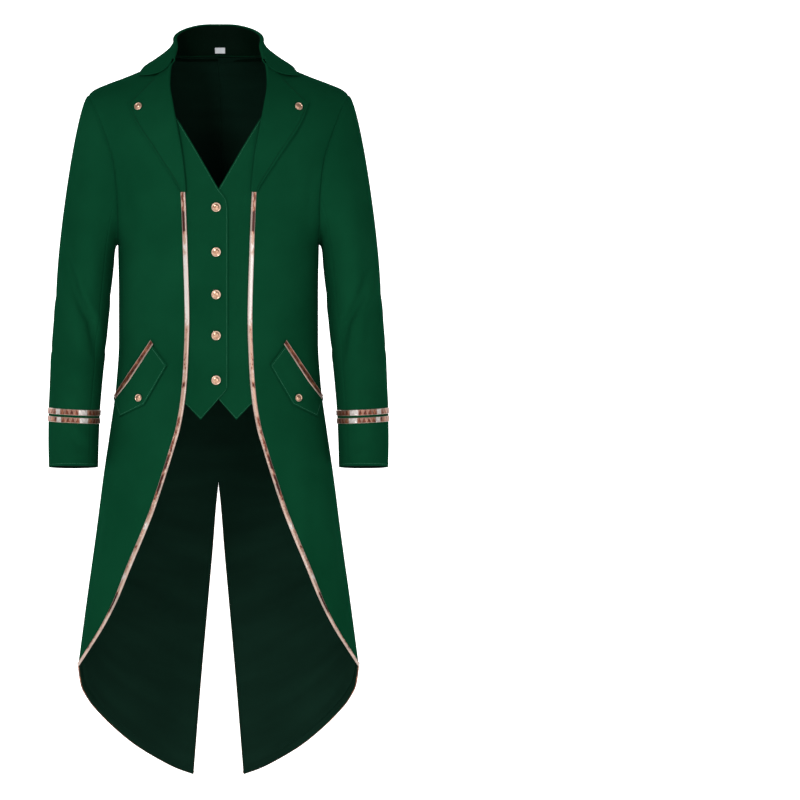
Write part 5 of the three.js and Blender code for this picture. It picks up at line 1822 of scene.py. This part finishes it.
for hand in ("left", "right"):
    base = lining_base * sides(hand)
    base = with_creases(base, outward(base), BACK_CREASES, seams=["last column", "first row"])
    normals, _ = grid_normals(base, False, outward(base))
    grid = base - normals * (LINING_DEPTH + lining_pleat(base))[..., None]
    piece = cloth_piece(f"lining_{hand}_cloth", [grid], LINING_CLOTH, [outward(grid)], [LINING])
    stand_for(piece, "lining", f"lining_{hand}")

# %% The blank label
LABEL_LEFT, LABEL_RIGHT = 10.9, -5.8
LABEL_TOP_Z, LABEL_BOTTOM_Z = 12.0, 2.5
LABEL_GAP = 2.6
LABEL_BULGE = 0.3
LABEL_CLOTH = 0.35
label_x = np.linspace(LABEL_LEFT, LABEL_RIGHT, 18)
label_z = np.linspace(LABEL_TOP_Z, LABEL_BOTTOM_Z, 12)
stand = collar_half(np.linspace(0, 1, 9))[1:STAND_ROWS + 1]
stand_rows = np.arange(STAND_ROWS)
label_grid = np.zeros((len(label_z), len(label_x), 3))
for i, z in enumerate(label_z):
    row = np.interp(z, stand[:, 0, 2], stand_rows)
    across = [np.interp(row, stand_rows, station[:, 0]) for station in np.swapaxes(stand, 0, 1)]
    back = [np.interp(row, stand_rows, station[:, 1]) for station in np.swapaxes(stand, 0, 1)]
    depth = np.interp(np.abs(label_x), across, back)
    label_grid[i] = np.stack([label_x, depth - LABEL_GAP, np.full_like(label_x, z)], 1)
label_grid[..., 1] -= LABEL_BULGE * np.sin(np.pi * np.linspace(0, 1, len(label_x)))[None]
ahead = np.zeros_like(label_grid) + np.array([0.0, -1.0, 0.0])
piece = cloth_piece("label_strip", [label_grid], LABEL_CLOTH, [ahead], [LABEL_WEAVE])
stand_for(piece, "label", "label")

# %% [markdown]


# %% [markdown]
# ## Floor, light and camera
# The coat is shown in flat studio light on white. One wide curve of pale board is floor and backdrop at
# once, so there is no corner behind the coat. The camera has no perspective, which keeps the measured lines
# true, and it stands where the coat falls on its place in the picture.

# %% Floor and backdrop
FLOOR_Z = -1.25
SWEEP_START_Y = 1.6
SWEEP_RADIUS = 1.4
WALL_TOP = 6.0


def backdrop_finish():
    finish, shader = new_finish("pale_board", 0.9, specular=0.1)
    grain = noise(finish, space_place(finish), 3.0, 2.0)
    stops = [(0.3, (0.90, 0.90, 0.90)), (0.7, (0.94, 0.94, 0.94))]
    join_nodes(finish, colours(finish, grain, stops), shader.inputs["Base Color"])
    shader.inputs["Emission Color"].default_value = (1, 1, 1, 1)
    shader.inputs["Emission Strength"].default_value = 0.8
    return finish


turn = np.linspace(0, np.pi / 2, 24)
sweep = SWEEP_START_Y + SWEEP_RADIUS * np.sin(turn)
depths = np.concatenate([[-7.0, -3.0, 0.0], sweep, [SWEEP_START_Y + SWEEP_RADIUS]])
heights = np.concatenate([[0, 0, 0], SWEEP_RADIUS * (1 - np.cos(turn)), [WALL_TOP]]) + FLOOR_Z
points = [(x, y, z) for y, z in zip(depths, heights) for x in (-7.0, 7.6)]
faces = [(2 * i, 2 * i + 1, 2 * i + 3, 2 * i + 2) for i in range(len(depths) - 1)]
mesh = bpy.data.meshes.new("backdrop")
mesh.from_pydata(points, [], faces)
mesh.materials.append(backdrop_finish())
mesh.shade_smooth()
backdrop = bpy.data.objects.new("backdrop", mesh)
bpy.context.scene.collection.objects.link(backdrop)
backdrop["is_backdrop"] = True
print("floor at", FLOOR_Z, "m")

# %% Lights
WORLD_LEVEL = 0.24
COAT_MIDDLE = (0.0, 0.0, -0.6)
world = bpy.data.worlds.new("studio")
world.use_nodes = True
air = world.node_tree
way = air.nodes.new("ShaderNodeTexCoord")
parts = air.nodes.new("ShaderNodeSeparateXYZ")
tilt = air.nodes.new("ShaderNodeMath")
tilt.operation = "ABSOLUTE"
falloff = air.nodes.new("ShaderNodeValToRGB")
for element, (place, level) in zip(falloff.color_ramp.elements, [(0.03, 1.0), (0.12, WORLD_LEVEL)]):
    element.position = place
    element.color = (level, level, level, 1)
air.links.new(way.outputs["Generated"], parts.inputs["Vector"])
air.links.new(parts.outputs["Z"], tilt.inputs[0])
air.links.new(tilt.outputs["Value"], falloff.inputs["Fac"])
air.links.new(falloff.outputs["Color"], air.nodes["Background"].inputs["Color"])
bpy.context.scene.world = world
bpy.context.scene.view_settings.view_transform = "Standard"


def add_softbox(name, place, size, power):
    light = bpy.data.lights.new(name, "AREA")
    light.shape = "RECTANGLE"
    light.size, light.size_y = size
    light.energy = power
    box = bpy.data.objects.new(name, light)
    bpy.context.scene.collection.objects.link(box)
    box.location = place
    box.rotation_euler = (Vector(COAT_MIDDLE) - Vector(place)).to_track_quat("-Z", "Y").to_euler()


add_softbox("key_front", (-1.7, -3.4, 1.5), (0.8, 0.9), 95)
add_softbox("fill_front", (1.2, -3.9, 0.0), (1.2, 2.2), 36)
add_softbox("back_fill", (-0.8, 2.6, 1.4), (1.0, 1.0), 30)

# %% Camera
VIEW_X = 0.3031
VIEW_Z = -0.5762
VIEW_WIDTH = 1.336
VIEW_DISTANCE = 4.0
lens = bpy.data.cameras.new("view")
lens.type = "ORTHO"
lens.ortho_scale = VIEW_WIDTH
camera = bpy.data.objects.new("view", lens)
bpy.context.scene.collection.objects.link(camera)
camera.location = (VIEW_X, -VIEW_DISTANCE, VIEW_Z)
camera.rotation_euler = (math.radians(90), 0, 0)
bpy.context.scene.camera = camera
print("camera at", tuple(camera.location))

# %% Print the sizes and finish
low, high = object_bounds()
sizes = {"cad": [list(cad_low), list(cad_high)], "visual": [list(low), list(high)]}
for key, corners in sizes.items():
    print(key, [[round(value * 1000, 1) for value in corner] for corner in corners])
